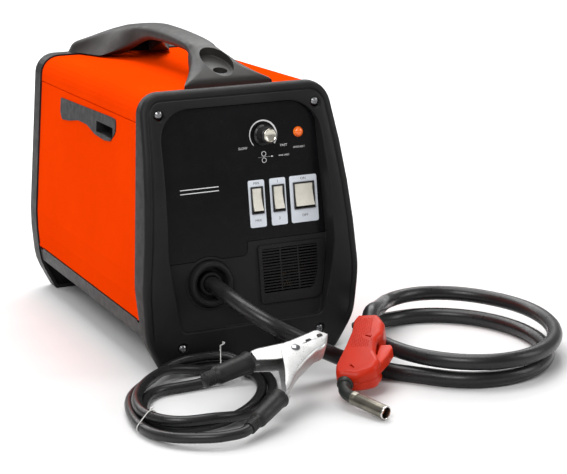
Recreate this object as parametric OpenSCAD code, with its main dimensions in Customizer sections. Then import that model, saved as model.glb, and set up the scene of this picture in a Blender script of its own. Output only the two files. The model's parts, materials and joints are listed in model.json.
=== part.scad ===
// Portable wire welder: two moulded end frames, sheet casing, carrying handle,
// wire feeder and power parts, torch on its lead, earth clamp on its coiled lead.
// Origin: middle of the casing's footprint on the floor. +X right, +Y rear, +Z up. Millimetres.

/* [Casing] */
// Width of the end frames
body_w = 250; // [200:1:310]
// Depth over the end frames
body_d = 422; // [340:1:520]
// Height of the end frames
body_h = 297; // [260:1:360]
// Radius of the crowned front
front_r = 430; // [380:5:600]
// Backward lean of the control panel in degrees
lean = 6.6; // [4:0.1:8]
// Depth of the rear frame
rear_t = 23; // [18:1:30]
// Moulded wall thickness
wall = 3; // [2:0.5:4]
// Sheet thickness of cover, door and tray
sheet_t = 1.6; // [1:0.1:2]
// Gap round the side door
door_gap = 1; // [0.5:0.1:2]
// Height of the tray floor
tray_z = 40; // [34:1:46]

/* [Handle] */
// Rise of the handle over the casing
grip_rise = 45; // [40:1:60]
// Width of the grip
grip_w = 35; // [28:1:40]

/* [Controls] */
// Radius of the speed knob
knob_r = 11.5; // [9:0.5:14]
// Reach of the speed knob
knob_reach = 18; // [14:1:22]
// Shaft radius of the potentiometer
pot_r = 3; // [2.5:0.5:4]
// Height of the rocker switches
rocker_h = 25; // [20:0.5:27]
// Rocker tilt to each side in degrees
rocker_tilt = 10; // [6:1:10]

/* [Wire feed] */
// Radius of the wire spool
spool_r = 98; // [80:1:100]
// Radius of the spool bore
spool_bore = 25.5; // [20:0.5:27]
// Radius of the drive roll
drive_r = 15; // [12:1:17]
// Radius of the pressure roll
press_r = 11; // [9:1:12]

/* [Cooling] */
// Radius of the fan opening
fan_r = 52; // [42:1:54]

/* [Power parts] */
// Width of the transformer core
core_w = 112; // [90:1:118]
// Stack depth of the transformer core
core_d = 50; // [40:1:60]

/* [Leads] */
// Torch lead diameter
torch_d = 17; // [15:0.5:17.5]
// Earth lead diameter
earth_d = 10.5; // [9:0.5:11]

/* [Hidden] */
$fn = 64;
run_gap = 0.06;
knee = [0.49 * body_w, 0.128 * body_h];
belly = [0.504 * body_w, 0.313 * body_h];
base_x = 0.416 * body_w;
top_x = 0.43 * body_w;
outline_pts = [
    [-base_x, 0, 4], [base_x, 0, 4], [knee.x, knee.y, 60], [belly.x, belly.y, 150],
    [top_x, body_h, 24], [-top_x, body_h, 24], [-belly.x, belly.y, 150], [-knee.x, knee.y, 60]
];
slope = tan(lean);
// The front stays where it is when the depth changes
front_y = -211;
rear_y = front_y + body_d;
rear_in = rear_y - rear_t;
plate_y = rear_in + 12;
panel_y = front_y + 7.6;
seat_y = front_y + 18;
crown_y = front_y + front_r;
crown_z = 110;
wx = body_w / 250;
// How far the right side stands out from where it is at a width of 250
side_x = (body_w - 250) / 2;
recess_pts = [
    [-82.5 * wx, pu(43), 8], [82.5 * wx, pu(43), 8], [89 * wx, pu(78), 30],
    [96.3 * wx, pu(125), 120], [90.5 * wx, pu(body_h - 19), 24],
    [-90.5 * wx, pu(body_h - 19), 24], [-96.3 * wx, pu(125), 120], [-89 * wx, pu(78), 30]
];
bezel_screws = [
    [-90 * wx, body_h - 22], [90 * wx, body_h - 22], [-81 * wx, 26], [81 * wx, 26]
];
rear_screws = [
    [-86 * wx, body_h - 29], [86 * wx, body_h - 29], [-98 * wx, 58], [98 * wx, 58]
];
hinge_z = 60;
hinge_x = -(knee.x + (belly.x - knee.x) * (hinge_z - knee.y) / (belly.y - knee.y)) + 4.8;
hinge_r = 1.8;
tray_top = 56.6;
door_z0 = 58.6;
door_z1 = body_h - 31.5;
inner_top = body_h - 2 - sheet_t;
socket = [-44 * wx, 91.4];
socket_r = 25;
dial = [28.7 * wx, 243.4];
lamp = [70.1 * wx, 243.3];
gland = [38 * wx, 24];
switch_z = 174.3;
// Each switch: centre, opening width, label plate width
switches = [[16.4 * wx, 11.4, 19], [41.5 * wx, 11.4, 18.8], [72 * wx, 22, 32.5]];
pivot_y = 1;
divider_x = -15;
wire_x = socket.x;
wire_z = 90;
feed_y = front_y + 116;
drive_z = wire_z - drive_r - 0.4;
press_z = wire_z + press_r + 0.4;
arm_y = feed_y - 33;
arm_z = 112;
spool_y = rear_in - 5 - spool_r;
spool_z = 158;
spool_w = 55;
spool_x = divider_x - 11;
tray_in = tray_z + 2;
power_x = (divider_x + belly.x - 8) / 2;
core_y = 15;
core_z = tray_in + 4;
limb = core_w * 0.16;
win_w = (core_w - 4 * limb) / 2;
win_h = 60;
fan_x = power_x;
fan_z = 150;
torch_r = torch_d / 2;
earth_r = earth_d / 2;
// The torch lies on its coil, so it sinks with a thinner lead
torch_at = [100 + side_x, front_y - 71, 16 + 2 * torch_d];
torch_turn = [4.3, 15.9, -123.4];
clamp_at = [-21, front_y - 142, 54];
clamp_turn = [29.6, 0, 0];
neck_r = 6.5;
neck_t = -13;
bend_r = 20;
bend_a = 52.3;
gap_c = 0.4;
low_out = [
    [40, 11.2], [33.3, -2.1], [22, -7], [6.6, -16.8], [-10.2, -30.3], [-24.7, -46.7], [-31, -52]
];
up_out = [[40.4, 13], [32, 21.7], [12, 16.6], [-6.4, 11.8], [-38.6, 9.6], [-46, 7]];
low_dir = [-0.821, -0.570];
low_a = [-31.5, -47.9];
up_dir = [-0.962, -0.273];
up_a = [-44, 1.5];
sleeve_l = 59;

// ---- Plane helpers ----

function unit(v) = v / norm(v);
function pu(z) = z / cos(lean);
function seat(z) = seat_y + slope * z;
function panel(z) = panel_y + slope * z;
function crown(z) = crown_y - sqrt(front_r * front_r - (z - crown_z) * (z - crown_z));

function corner(a, p, b) =
    let(q = [p.x, p.y], u = unit([a.x, a.y] - q), v = unit([b.x, b.y] - q), h = acos(u * v) / 2)
    p.z < 0.05 || h > 89.5 ? [q] :
    let(
        c = q + unit(u + v) * p.z / sin(h),
        t1 = q + u * p.z / tan(h),
        t2 = q + v * p.z / tan(h),
        a1 = atan2(t1.y - c.y, t1.x - c.x),
        a2 = atan2(t2.y - c.y, t2.x - c.x),
        d = (a2 - a1 + 540) % 360 - 180,
        n = max(1, ceil(abs(d) / 15))
    )
    [for (k = [0 : n]) c + p.z * [cos(a1 + d * k / n), sin(a1 + d * k / n)]];

function fillet(pts) =
    let(m = len(pts))
    [for (i = [0 : m - 1]) each corner(pts[(i + m - 1) % m], pts[i], pts[(i + 1) % m])];

function left_of(a, b) = let(d = unit([b.x - a.x, b.y - a.y])) [-d.y, d.x];

function inset(pts, s) =
    let(m = len(pts))
    [for (i = [0 : m - 1])
        let(
            n1 = left_of(pts[(i + m - 1) % m], pts[i]),
            n2 = left_of(pts[i], pts[(i + 1) % m]),
            q = [pts[i].x, pts[i].y] + (n1 + n2) * s / (1 + n1 * n2)
        )
        [q.x, q.y, pts[i].z < 0.05 ? 0 : max(0.5, pts[i].z - s)]];

function strip(pts, t) =
    let(
        m = len(pts),
        off = [for (i = [0 : m - 1])
            let(
                n1 = left_of(pts[max(0, i - 1)], pts[max(1, i)]),
                n2 = left_of(pts[min(m - 2, i)], pts[min(m - 1, i + 1)])
            )
            pts[i] + (n1 + n2) * t / (1 + n1 * n2)]
    )
    concat(pts, [for (i = [m - 1 : -1 : 0]) off[i]]);

module outline(s = 0) {
    polygon(fillet(inset(outline_pts, s)));
}

module recess(s = 0) {
    polygon(fillet(inset(recess_pts, s)));
}

// A flat shape (x, z) carried from y0 to y1
module along_y(y0, y1) {
    translate([0, y1, 0]) rotate([90, 0, 0]) linear_extrude(y1 - y0) children();
}

// A flat shape (y, z) carried from x0 to x1
module along_x(x0, x1) {
    translate([x0, 0, 0]) rotate([90, 0, 90]) linear_extrude(x1 - x0) children();
}

// The control panel's own frame: local -Y points out of the panel
module on_panel() {
    translate([0, panel_y, 0]) rotate([-lean, 0, 0]) children();
}

// A turned part standing out of the panel
module out_of_panel(p) {
    on_panel() translate([p.x, 0, pu(p.y)]) rotate([90, 0, 0]) children();
}

module rod_x(x0, x1, y, z, r) {
    translate([x0, y, z]) rotate([0, 90, 0]) cylinder(r = r, h = x1 - x0);
}

module rod_y(y0, y1, x, z, r) {
    translate([x, y1, z]) rotate([90, 0, 0]) cylinder(r = r, h = y1 - y0);
}

module crown_body(s) {
    rod_x(-260, 260, crown_y, crown_z, front_r - s);
}

// Between the front frame's back plane and the rear frame
module between(z0, z1, g0 = 0, g1 = 0) {
    along_x(-260, 260) polygon([
        [seat(z0) + g0, z0], [rear_in - g1, z0], [rear_in - g1, z1], [seat(z1) + g0, z1]
    ]);
}

module skin(s0, s1) {
    difference() {
        along_y(front_y - 20, rear_y + 20) outline(s0);
        along_y(front_y - 21, rear_y + 21) outline(s1);
    }
}

// ---- Casing ----

module base_tray() {
    color([0.10, 0.10, 0.11]) difference() {
        union() {
            intersection() {
                between(tray_z, tray_top);
                skin(2, 2 + sheet_t);
            }
            intersection() {
                between(tray_z, tray_z + 2);
                along_y(front_y, rear_y) outline(2);
            }
            intersection() {
                between(tray_z, 70);
                skin(2 + sheet_t, 2 + 2 * sheet_t);
                translate([60, front_y, tray_z]) cube([100, body_d, 40]);
            }
            for (i = [2 : 3]) intersection() {
                between(10, tray_z + 1);
                along_y(front_y, 0) translate(bezel_screws[i] - [9, 8]) square([18, 24]);
                along_x(-200, 200) polygon([
                    [seat(0), 0], [seat(0) + 2, 0], [seat(60) + 2, 60], [seat(60), 60]
                ]);
            }
            for (i = [2 : 3]) along_y(rear_in - 2, rear_in)
                translate(rear_screws[i] - [8, 17]) square([16, 26]);
        }
        for (i = [2 : 3]) rod_y(front_y, 0, bezel_screws[i].x, bezel_screws[i].y, 2.2);
        for (i = [2 : 3]) rod_y(0, rear_y, rear_screws[i].x, rear_screws[i].y, 2.2);
        for (y = [seat(60) - 5, rear_in - 12])
            translate([-200, y, 54.5]) cube([200 + hinge_x + 6, 17, 20]);
        for (y = [-150, -110, -70, -30, 70, 110])
            translate([40, y, tray_z - 1]) cube([50, 8, 4]);
    }
}

module bezel_shape() {
    difference() {
        intersection() {
            along_y(front_y - 5, rear_y) outline();
            crown_body(0);
            along_x(-200, 200) polygon([
                [front_y - 10, -1], [seat(-1), -1], [seat(body_h + 5), body_h + 5],
                [front_y - 10, body_h + 5]
            ]);
        }
        difference() {
            intersection() {
                along_y(front_y - 5, rear_y) outline(wall);
                crown_body(wall);
            }
            on_panel() along_y(-70, 5) recess(-2.5);
            for (p = bezel_screws) rod_y(front_y - 5, rear_y, p.x, p.y, 6);
            along_y(front_y - 5, rear_y) translate([-100, 36]) square([200, 8]);
            rod_y(front_y - 5, rear_y, hinge_x, hinge_z, 4.5);
            rod_y(front_y - 5, rear_y, gland.x, gland.y, 11);
        }
        on_panel() along_y(-70, -0.6) recess();
        on_panel() along_y(-70, 2) intersection() {
            recess();
            difference() {
                polygon([
                    [-150, pu(116)], [2, pu(116)], [2, pu(131)], [150, pu(131)],
                    [150, pu(320)], [-150, pu(320)]
                ]);
                translate([socket.x, pu(socket.y)]) circle(29);
            }
        }
    }
}

module front_bezel() {
    color([0.07, 0.07, 0.075]) difference() {
        union() {
            bezel_shape();
            rod_y(crown(hinge_z) + 6, seat(hinge_z) + 11, hinge_x, hinge_z, hinge_r);
            rod_y(-206 - 211 - front_y, crown(gland.y) + 5, gland.x, gland.y, 11);
        }
        // Groove between the rim and its inner band
        difference() {
            along_y(front_y - 5, rear_y) outline(7.5);
            along_y(front_y - 6, rear_y) outline(9.5);
            crown_body(1.4);
            along_y(front_y - 6, rear_y) translate([-150, -1]) square([300, 40]);
        }
        for (p = bezel_screws) {
            rod_y(front_y - 5, crown(p.y) + 2.6, p.x, p.y, 5);
            rod_y(front_y - 5, rear_y, p.x, p.y, 2.2);
        }
        rod_y(front_y - 20, rear_y, gland.x, gland.y, 6.15);
        out_of_panel(socket) translate([0, 0, -30]) cylinder(r = 20.1, h = 60);
        out_of_panel(dial) translate([0, 0, -30]) cylinder(r = 4.1, h = 60);
        out_of_panel(lamp) translate([0, 0, -30]) cylinder(r = 4.3, h = 60);
        for (s = switches) on_panel() along_y(-10, 12)
            translate([s.x - s.y / 2 - 0.9, pu(switch_z) - 14.1]) square([s.y + 1.8, 28.2]);
        on_panel() along_y(-10, 12) polygon([
            [19, pu(75)], [76, pu(75)], [81, pu(92)], [82, pu(119)], [19, pu(119)]
        ]);
    }
}

module control_fascia() {
    color([0.03, 0.03, 0.032]) difference() {
        on_panel() along_y(0, 2) intersection() {
            recess(0.5);
            difference() {
                polygon([
                    [-150, pu(116) + 0.4], [1.6, pu(116) + 0.4], [1.6, pu(131) + 0.4],
                    [150, pu(131) + 0.4], [150, pu(320)], [-150, pu(320)]
                ]);
                translate([socket.x, pu(socket.y)]) circle(29.4);
            }
        }
        out_of_panel(dial) translate([0, 0, -30]) cylinder(r = 4.1, h = 60);
        out_of_panel(lamp) translate([0, 0, -30]) cylinder(r = 4.3, h = 60);
        for (s = switches) on_panel() along_y(-10, 12)
            translate([s.x - s.y / 2 - 0.9, pu(switch_z) - 14.1]) square([s.y + 1.8, 28.2]);
    }
}

module vent_grille() {
    frame_pts = [
        [13, pu(62), 3], [84, pu(62), 10], [90.5, pu(90), 20], [92.5, pu(125), 3], [13, pu(125), 3]
    ];
    color([0.06, 0.06, 0.065]) on_panel() {
        difference() {
            along_y(-3, -0.6) polygon(fillet(frame_pts));
            along_y(-4, 0) polygon(fillet([
                [17, pu(73), 2], [76, pu(73), 6], [82, pu(92), 15], [83, pu(121), 2],
                [17, pu(121), 2]
            ]));
        }
        intersection() {
            along_y(-3, 3) polygon(fillet(frame_pts));
            union() for (i = [0 : 14])
                translate([12, -2.2, pu(74.6) + 3.15 * i]) cube([80, 1.6, 1.5]);
            along_y(-3, 3) polygon(fillet([
                [16.5, pu(72.5), 2], [76.5, pu(72.5), 6], [82.5, pu(92), 15],
                [83.5, pu(121.5), 2], [16.5, pu(121.5), 2]
            ]));
        }
        for (x = [38, 59]) translate([x, -2.2, pu(74)]) cube([1.5, 1.6, pu(47)]);
    }
}

module rear_frame() {
    color([0.07, 0.07, 0.075]) difference() {
        union() {
            difference() {
                along_y(rear_in, rear_y) outline();
                difference() {
                    along_y(rear_in - 1, plate_y) outline(4);
                    along_y(rear_in - 2, plate_y + 1) translate([-130, 36]) square([260, 8]);
                    for (p = rear_screws) rod_y(rear_in - 2, rear_y, p.x, p.y, 6);
                    rod_y(rear_in - 2, rear_y, hinge_x, hinge_z, 4.5);
                }
                along_y(plate_y + 5, rear_y + 1) outline(10);
            }
            rod_y(rear_in - 11, rear_in + 5, hinge_x, hinge_z, hinge_r);
        }
        for (p = rear_screws) rod_y(rear_in - 2, rear_y + 5, p.x, p.y, 2.2);
        difference() {
            for (k = [0 : 4]) difference() {
                rod_y(plate_y - 5, rear_y, fan_x, fan_z, 16 + 8 * k + (fan_r - 52) * k / 5);
                rod_y(plate_y - 6, rear_y + 1, fan_x, fan_z, 11 + 8 * k + (fan_r - 52) * k / 5);
            }
            for (a = [0, 90]) translate([fan_x, plate_y, fan_z]) rotate([0, a, 0])
                cube([2 * fan_r + 10, 30, 4], center = true);
        }
        rod_y(plate_y - 5, rear_y + 1, -62 * wx, 66, 5.1);
        rod_y(plate_y - 5, rear_y + 1, power_x + 20, 72, 8.1);
    }
}

module top_cover() {
    color([0.93, 0.26, 0.03]) difference() {
        union() {
            difference() {
                intersection() {
                    between(57.4, body_h);
                    skin(2, 2 + sheet_t);
                }
                translate([-300, -300, 0]) cube([300, 600, door_z1 + 1]);
            }
            intersection() {
                between(door_z1 + 1, door_z1 + 10);
                skin(2.5, 4.2 + 2 * sheet_t);
                translate([-200, -300, 0]) cube([130, 600, 400]);
            }
            intersection() {
                between(door_z1 - 9, door_z1 + 10, 2, 2);
                skin(4.2 + sheet_t, 4.2 + 2 * sheet_t);
                translate([-200, -300, 0]) cube([130, 600, 400]);
            }
            for (i = [0 : 1]) intersection() {
                between(240, inner_top + 1);
                along_y(front_y, 0) translate(bezel_screws[i] - [9, 9]) square([18, 30]);
                along_y(front_y, 0) outline(2.5);
                along_x(-200, 200) polygon([
                    [seat(200), 200], [seat(200) + 2, 200], [seat(300) + 2, 300], [seat(300), 300]
                ]);
            }
            for (i = [0 : 1]) intersection() {
                along_y(rear_in - 2, rear_in)
                    translate(rear_screws[i] - [8, 8]) square([16, 40]);
                along_y(0, rear_y) outline(2.5);
            }
        }
        for (i = [0 : 1]) rod_y(front_y, 0, bezel_screws[i].x, bezel_screws[i].y, 2.2);
        for (i = [0 : 1]) rod_y(0, rear_y, rear_screws[i].x, rear_screws[i].y, 2.2);
        for (y = [front_y + 82, rear_y - 35])
            translate([0, y, inner_top - 5]) cylinder(r = 2.6, h = 10);
    }
}

function grip_pts() = [
    [105, 257, 3], [-78, 260.5, 3], [-95, 260, 5], [-95.5, 246, 8], [-80, 234, 8], [-60, 232, 12],
    [-26, 233.5, 25], [4, 240, 30], [36, 240, 30], [69, 234.5, 30], [98, 232, 8], [105, 240, 5]
];

module side_door() {
    color([0.95, 0.27, 0.03]) difference() {
        union() {
            intersection() {
                between(door_z0, door_z1, door_gap, door_gap);
                skin(2, 2 + sheet_t);
                translate([-300, -300, 0]) cube([300, 600, 400]);
            }
            rod_y(seat(hinge_z) + 1.2, seat(hinge_z) + 10, hinge_x, hinge_z, 3.6);
            rod_y(rear_in - 10, rear_in - 1.2, hinge_x, hinge_z, 3.6);
        }
        rod_y(front_y, rear_y, hinge_x, hinge_z, hinge_r + run_gap);
        along_x(-200, -60) polygon(fillet(grip_pts()));
    }
}

module door_grip() {
    color([0.05, 0.05, 0.055]) difference() {
        union() {
            intersection() {
                skin(1, 2 + sheet_t);
                along_x(-200, -60) polygon(fillet(grip_pts()));
            }
            intersection() {
                skin(2 + sheet_t, 4 + sheet_t);
                translate([-200, -91, 230]) cube([150, 192, 22]);
            }
            intersection() {
                skin(2 + sheet_t, 17);
                translate([-200, -90, 235.5]) cube([150, 62, 16]);
            }
        }
        intersection() {
            along_y(front_y, rear_y) outline(-1);
            difference() {
                translate([-200, -87, 237.5]) cube([150, 56, 12]);
                along_y(front_y, rear_y) outline(15);
            }
        }
    }
}

// ---- Handle ----

module carry_handle() {
    k = grip_rise / 45;
    t = body_h;
    hw = grip_w / 2;
    f = front_y;
    side_pts = [
        [f + 59, t - 2, 0], [f + 116, t - 2, 6], [f + 135, t + 27 * k, 14],
        [rear_y - 144, t + 27 * k, 16], [rear_y - 48, t - 2, 10], [rear_in, t - 2, 0],
        [rear_in, t + 0.3, 0], [rear_y + 0, t + 0.3, 1], [rear_y - 1, t + 5, 3],
        [rear_y - 8, t + 15 * k, 14], [rear_y - 31, t + 29 * k, 40],
        [rear_y - 81, t + 40 * k, 120], [f + 261, t + 45 * k, 300], [f + 211, t + 44.5 * k, 300],
        [f + 151, t + 40 * k, 160], [f + 111, t + 31 * k, 120], [f + 84, t + 20 * k, 60],
        [f + 60, t + 4, 4]
    ];
    top_pts = [
        [-52, f + 57, 4], [52, f + 57, 4], [hw + 2, f + 118, 60], [hw, f + 160, 100],
        [hw, rear_y - 100, 100], [hw + 6, rear_y - 52, 60], [64, rear_y - 8, 8],
        [58, rear_y + 2, 3], [-58, rear_y + 2, 3], [-64, rear_y - 8, 8],
        [-hw - 6, rear_y - 52, 60], [-hw, rear_y - 100, 100], [-hw, f + 160, 100],
        [-hw - 2, f + 118, 60]
    ];
    front_pts = [
        [-70, t - 4, 0], [70, t - 4, 0], [70, t + 1.5, 0], [46, t + 6, 25], [25, t + 19 * k, 30],
        [hw, t + 33 * k, 8], [hw - 2.5, t + 46 * k, 8], [-hw + 2.5, t + 46 * k, 8],
        [-hw, t + 33 * k, 8], [-25, t + 19 * k, 30], [-46, t + 6, 25], [-70, t + 1.5, 0]
    ];
    color([0.07, 0.07, 0.075]) difference() {
        intersection() {
            along_x(-80, 80) polygon(fillet(side_pts));
            translate([0, 0, t - 10]) linear_extrude(grip_rise + 20) polygon(fillet(top_pts));
            along_y(front_y, rear_y + 10) polygon(fillet(front_pts));
        }
        translate([0, f + 82, t + 6]) cylinder(r = 7.5, h = 60);
        translate([0, f + 84.5, t + 14.6]) rotate([15, 0, 0])
            cylinder(r1 = 13, r2 = 17.5, h = 30);
        translate([0, rear_y - 35, t + 6]) cylinder(r = 7.5, h = 60);
        for (y = [f + 82, rear_y - 35]) translate([0, y, t - 10]) cylinder(r = 2.7, h = 40);
    }
}

module pan_head(r, h) {
    difference() {
        rotate_extrude() polygon([[0, 0], [r, 0], [r, h * 0.5], [r * 0.6, h], [0, h]]);
        for (a = [0, 90]) rotate([0, 0, a])
            translate([-r * 0.6, -0.4, h * 0.5]) cube([r * 1.2, 0.8, h]);
    }
}

module case_screws() {
    color([0.45, 0.45, 0.46]) {
        for (p = bezel_screws) {
            y = crown(p.y) + 2.6;
            translate([p.x, y, p.y]) rotate([90, 0, 0]) pan_head(4.2, 2.2);
            rod_y(y, seat(p.y) + 6, p.x, p.y, 2);
        }
        for (p = rear_screws) {
            translate([p.x, plate_y + 5, p.y]) rotate([-90, 0, 0]) pan_head(4.2, 2.2);
            rod_y(rear_in - 6, plate_y + 5, p.x, p.y, 2);
        }
        for (y = [front_y + 82, rear_y - 35]) {
            translate([0, y, body_h + 6]) pan_head(5.5, 3);
            translate([0, y, inner_top - 5]) cylinder(r = 2.5, h = body_h + 6 - inner_top + 5);
        }
    }
}

// ---- Front controls ----

module speed_pot() {
    color([0.35, 0.36, 0.38]) out_of_panel(dial) difference() {
        union() {
            translate([0, 0, -15]) cylinder(r = 9, h = 10);
            translate([0, 0, -6]) cylinder(r = 4, h = 6.6);
        }
        translate([0, 0, -13]) cylinder(r = pot_r + run_gap, h = 20);
    }
}

module speed_knob() {
    color([0.05, 0.05, 0.055]) out_of_panel(dial) union() {
        rotate_extrude() polygon([
            [0, 1.2], [knob_r, 1.2], [knob_r, 3], [knob_r - 1.8, 4.2],
            [knob_r - 2.8, knob_reach - 1], [knob_r - 3.6, knob_reach], [0, knob_reach]
        ]);
        translate([0, 0, -12]) cylinder(r = pot_r, h = 14);
        for (i = [0 : 11]) rotate([0, 0, i * 30])
            translate([knob_r - 3, -0.6, 3]) cube([1.2, 1.2, knob_reach - 6]);
    }
}

module knob_cap() {
    color([0.8, 0.8, 0.78]) out_of_panel(dial) rotate_extrude() polygon([
        [0, knob_reach], [knob_r - 4.2, knob_reach], [knob_r - 4.2, knob_reach + 1.4],
        [knob_r - 5, knob_reach + 2], [knob_r - 6.2, knob_reach + 1.4], [0, knob_reach + 1.2]
    ]);
}

module lamp_lens() {
    color([0.8, 0.25, 0.04]) out_of_panel(lamp) union() {
        rotate_extrude() polygon([
            [0, 0], [5.6, 0], [5.6, 1.2], [4.8, 2.8], [3.4, 4], [1.6, 4.6], [0, 4.7]
        ]);
        translate([0, 0, -12]) cylinder(r = 4.1, h = 13);
    }
}

module switch_plates() {
    color([0.86, 0.87, 0.88]) on_panel() for (s = switches) difference() {
        along_y(-1.2, 0) polygon(fillet([
            [s.x - s.z / 2, pu(145), 2], [s.x + s.z / 2, pu(145), 2],
            [s.x + s.z / 2, pu(196), 2], [s.x - s.z / 2, pu(196), 2]
        ]));
        along_y(-2, 1) translate([s.x - s.y / 2 - 0.9, pu(switch_z) - 14.1])
            square([s.y + 1.8, 28.2]);
    }
}

module switch_frames() {
    color([0.05, 0.05, 0.055]) on_panel() for (s = switches) difference() {
        union() {
            along_y(-2.6, -1.2) translate([s.x - s.y / 2 - 1.5, pu(switch_z) - 14.8])
                square([s.y + 3, 29.6]);
            along_y(-1.2, 12) translate([s.x - s.y / 2 - 0.8, pu(switch_z) - 14])
                square([s.y + 1.6, 28]);
            for (dx = [-s.y / 4, s.y / 4])
                along_y(11, 18) translate([s.x + dx - 1.5, pu(switch_z) - 3]) square([3, 0.8]);
        }
        along_y(-3, 11) translate([s.x - s.y / 2, pu(switch_z) - rocker_h / 2 - 0.9])
            square([s.y, rocker_h + 1.8]);
        rod_x(s.x - s.y / 2 - 0.6, s.x + s.y / 2 + 0.6, pivot_y, pu(switch_z), 1.3);
    }
}

module rocker(s, tilt) {
    on_panel() translate([s.x, pivot_y, pu(switch_z)]) rotate([tilt, 0, 0]) {
        h = rocker_h / 2 - 0.3;
        along_x(-s.y / 2 + 0.4, s.y / 2 - 0.4) polygon([
            [-5, -h], [-3.3, -h * 0.5], [-3, 0], [-3.3, h * 0.5], [-5, h], [-2, h],
            [4, 5], [5.5, 0], [4, -5], [-2, -h]
        ]);
        rod_x(-s.y / 2 - 0.3, s.y / 2 + 0.3, 0, 0, 1.3 - run_gap);
    }
}

module step_rocker() {
    color([0.83, 0.82, 0.78]) rocker(switches[0], -rocker_tilt);
}

module range_rocker() {
    color([0.83, 0.82, 0.78]) rocker(switches[1], -rocker_tilt);
}

module power_rocker() {
    color([0.83, 0.82, 0.78]) rocker(switches[2], -rocker_tilt);
}

module torch_socket() {
    color([0.04, 0.04, 0.045]) out_of_panel(socket) rotate_extrude() polygon([
        [1.5, -14], [9, -14], [9, -8], [20, -8], [20, 0.6], [socket_r, 0.6], [socket_r, 5],
        [23, 8], [20.5, 8.6], [18.2, 7], [17.4, 4], [17.4, -5], [12.8, -5], [12.8, 2],
        [11.8, 4], [9.4, 4], [9.4, -1], [1.5, -1]
    ]);
}

module earth_gland() {
    y0 = front_y - 5;
    color([0.06, 0.06, 0.065]) union() {
        translate([gland.x, y0, gland.y]) rotate([-90, 0, 0]) rotate_extrude() polygon([
            [0, 0], [7, 0], [8.5, 2.5], [8.5, 10], [0, 10]
        ]);
        rod_y(y0 + 5, seat(gland.y) + 4, gland.x, gland.y, 6);
        translate([gland.x, seat(gland.y) + 5.4, gland.y]) rotate([90, 0, 0])
            cylinder(r = 9, h = 4, $fn = 6);
    }
}

// ---- Inside: power side ----

module divider_plate() {
    color([0.62, 0.63, 0.64]) difference() {
        union() {
            along_x(divider_x - 0.8, divider_x + 0.8) polygon([
                [seat(60) + 18, tray_in], [plate_y, tray_in], [plate_y, body_h - 12],
                [seat(250) + 14, body_h - 12], [seat(60) + 18, 200]
            ]);
            translate([divider_x, seat(60) + 18, tray_in]) cube([10, 330, 1.6]);
        }
        rod_x(divider_x - 5, divider_x + 5, feed_y, drive_z, 7);
        for (p = [[-60, 160], [40, 160], [-60, 250], [40, 250]])
            rod_x(divider_x - 5, divider_x + 5, p.x, p.y, 1.6);
        translate([divider_x - 5, plate_y - 11.99, 36]) cube([10, 20, 8.2]);
    }
}

module transformer_core() {
    color([0.38, 0.37, 0.36]) difference() {
        union() {
            translate([power_x - core_w / 2, core_y - core_d / 2, core_z])
                cube([core_w, core_d, win_h + 2 * limb]);
            for (s = [-1, 1]) translate([
                power_x - core_w / 2, core_y + s * (core_d / 2 + 3) - 7, tray_in
            ]) cube([core_w, 14, 4]);
            translate([power_x - core_w / 2, core_y - core_d / 2 - 1, tray_in])
                cube([core_w, core_d + 2, 4]);
        }
        for (s = [-1, 1]) translate([
            power_x + s * (limb + win_w / 2) - win_w / 2, core_y - core_d, core_z + limb
        ]) cube([win_w, 2 * core_d, win_h]);
        for (sx = [-1, 1], sz = [0, 1]) rod_y(core_y - core_d, core_y + core_d,
            power_x + sx * (core_w / 2 - limb / 2), core_z + limb / 2 + sz * (win_h + limb), 2.5);
    }
}

module winding(z0, h, grow) {
    o = limb + win_w - 0.5;
    d = core_d / 2 + grow;
    translate([power_x, core_y, z0]) linear_extrude(h) difference() {
        polygon(fillet([[-o, -d, 6], [o, -d, 6], [o, d, 6], [-o, d, 6]]));
        square([2 * limb + 0.4, core_d + 0.4], center = true);
    }
}

module primary_winding() {
    color([0.62, 0.29, 0.10]) winding(core_z + limb, win_h / 2, 17);
}

module secondary_winding() {
    color([0.75, 0.55, 0.20]) winding(core_z + limb + win_h / 2, win_h / 2, 15);
}

module choke() {
    cx = power_x + 29;
    cy = feed_y - 12;
    color([0.42, 0.38, 0.34]) union() {
        difference() {
            translate([cx - 24, cy - 16, tray_in]) cube([48, 32, 60]);
            for (s = [-1, 1]) translate([cx + s * 12 - 5, cy - 20, tray_in + 9])
                cube([10, 40, 42]);
        }
        translate([cx, cy, tray_in + 11]) linear_extrude(38) difference() {
            polygon(fillet([[-16, -27, 5], [16, -27, 5], [16, 27, 5], [-16, 27, 5]]));
            square([14, 31.9], center = true);
        }
    }
}

module rectifier() {
    rx = power_x + 25;
    color([0.70, 0.71, 0.72]) union() {
        translate([rx - 22, 92, tray_in]) cube([44, 44, 2]);
        for (i = [0 : 4]) translate([rx - 22, 94 + 9 * i, tray_in]) cube([44, 2, 52]);
        for (x = [-14, 14], z = [16, 40]) rod_y(93, 133, rx + x, tray_in + z, 3);
        for (i = [0 : 3]) rod_y(95 + 9 * i, 101 + 9 * i, rx, tray_in + 28, 8);
    }
}

module control_board() {
    x0 = divider_x + 0.8;
    color([0.07, 0.30, 0.14]) union() {
        for (p = [[-60, 160], [40, 160], [-60, 250], [40, 250]])
            rod_x(x0, x0 + 6, p.x, p.y, 3);
        translate([x0 + 5, -66, 152]) cube([1.6, 112, 104]);
        translate([x0 + 6, -50, 166]) cube([16, 22, 28]);
        translate([x0 + 6, -20, 166]) cube([16, 22, 28]);
        translate([x0 + 6, 10, 170]) cube([10, 24, 12]);
        for (y = [-46, -24, -2]) rod_x(x0 + 6, x0 + 26, y, 232, 8);
        translate([x0 + 6, 16, 212]) cube([3, 8, 26]);
    }
}

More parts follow.
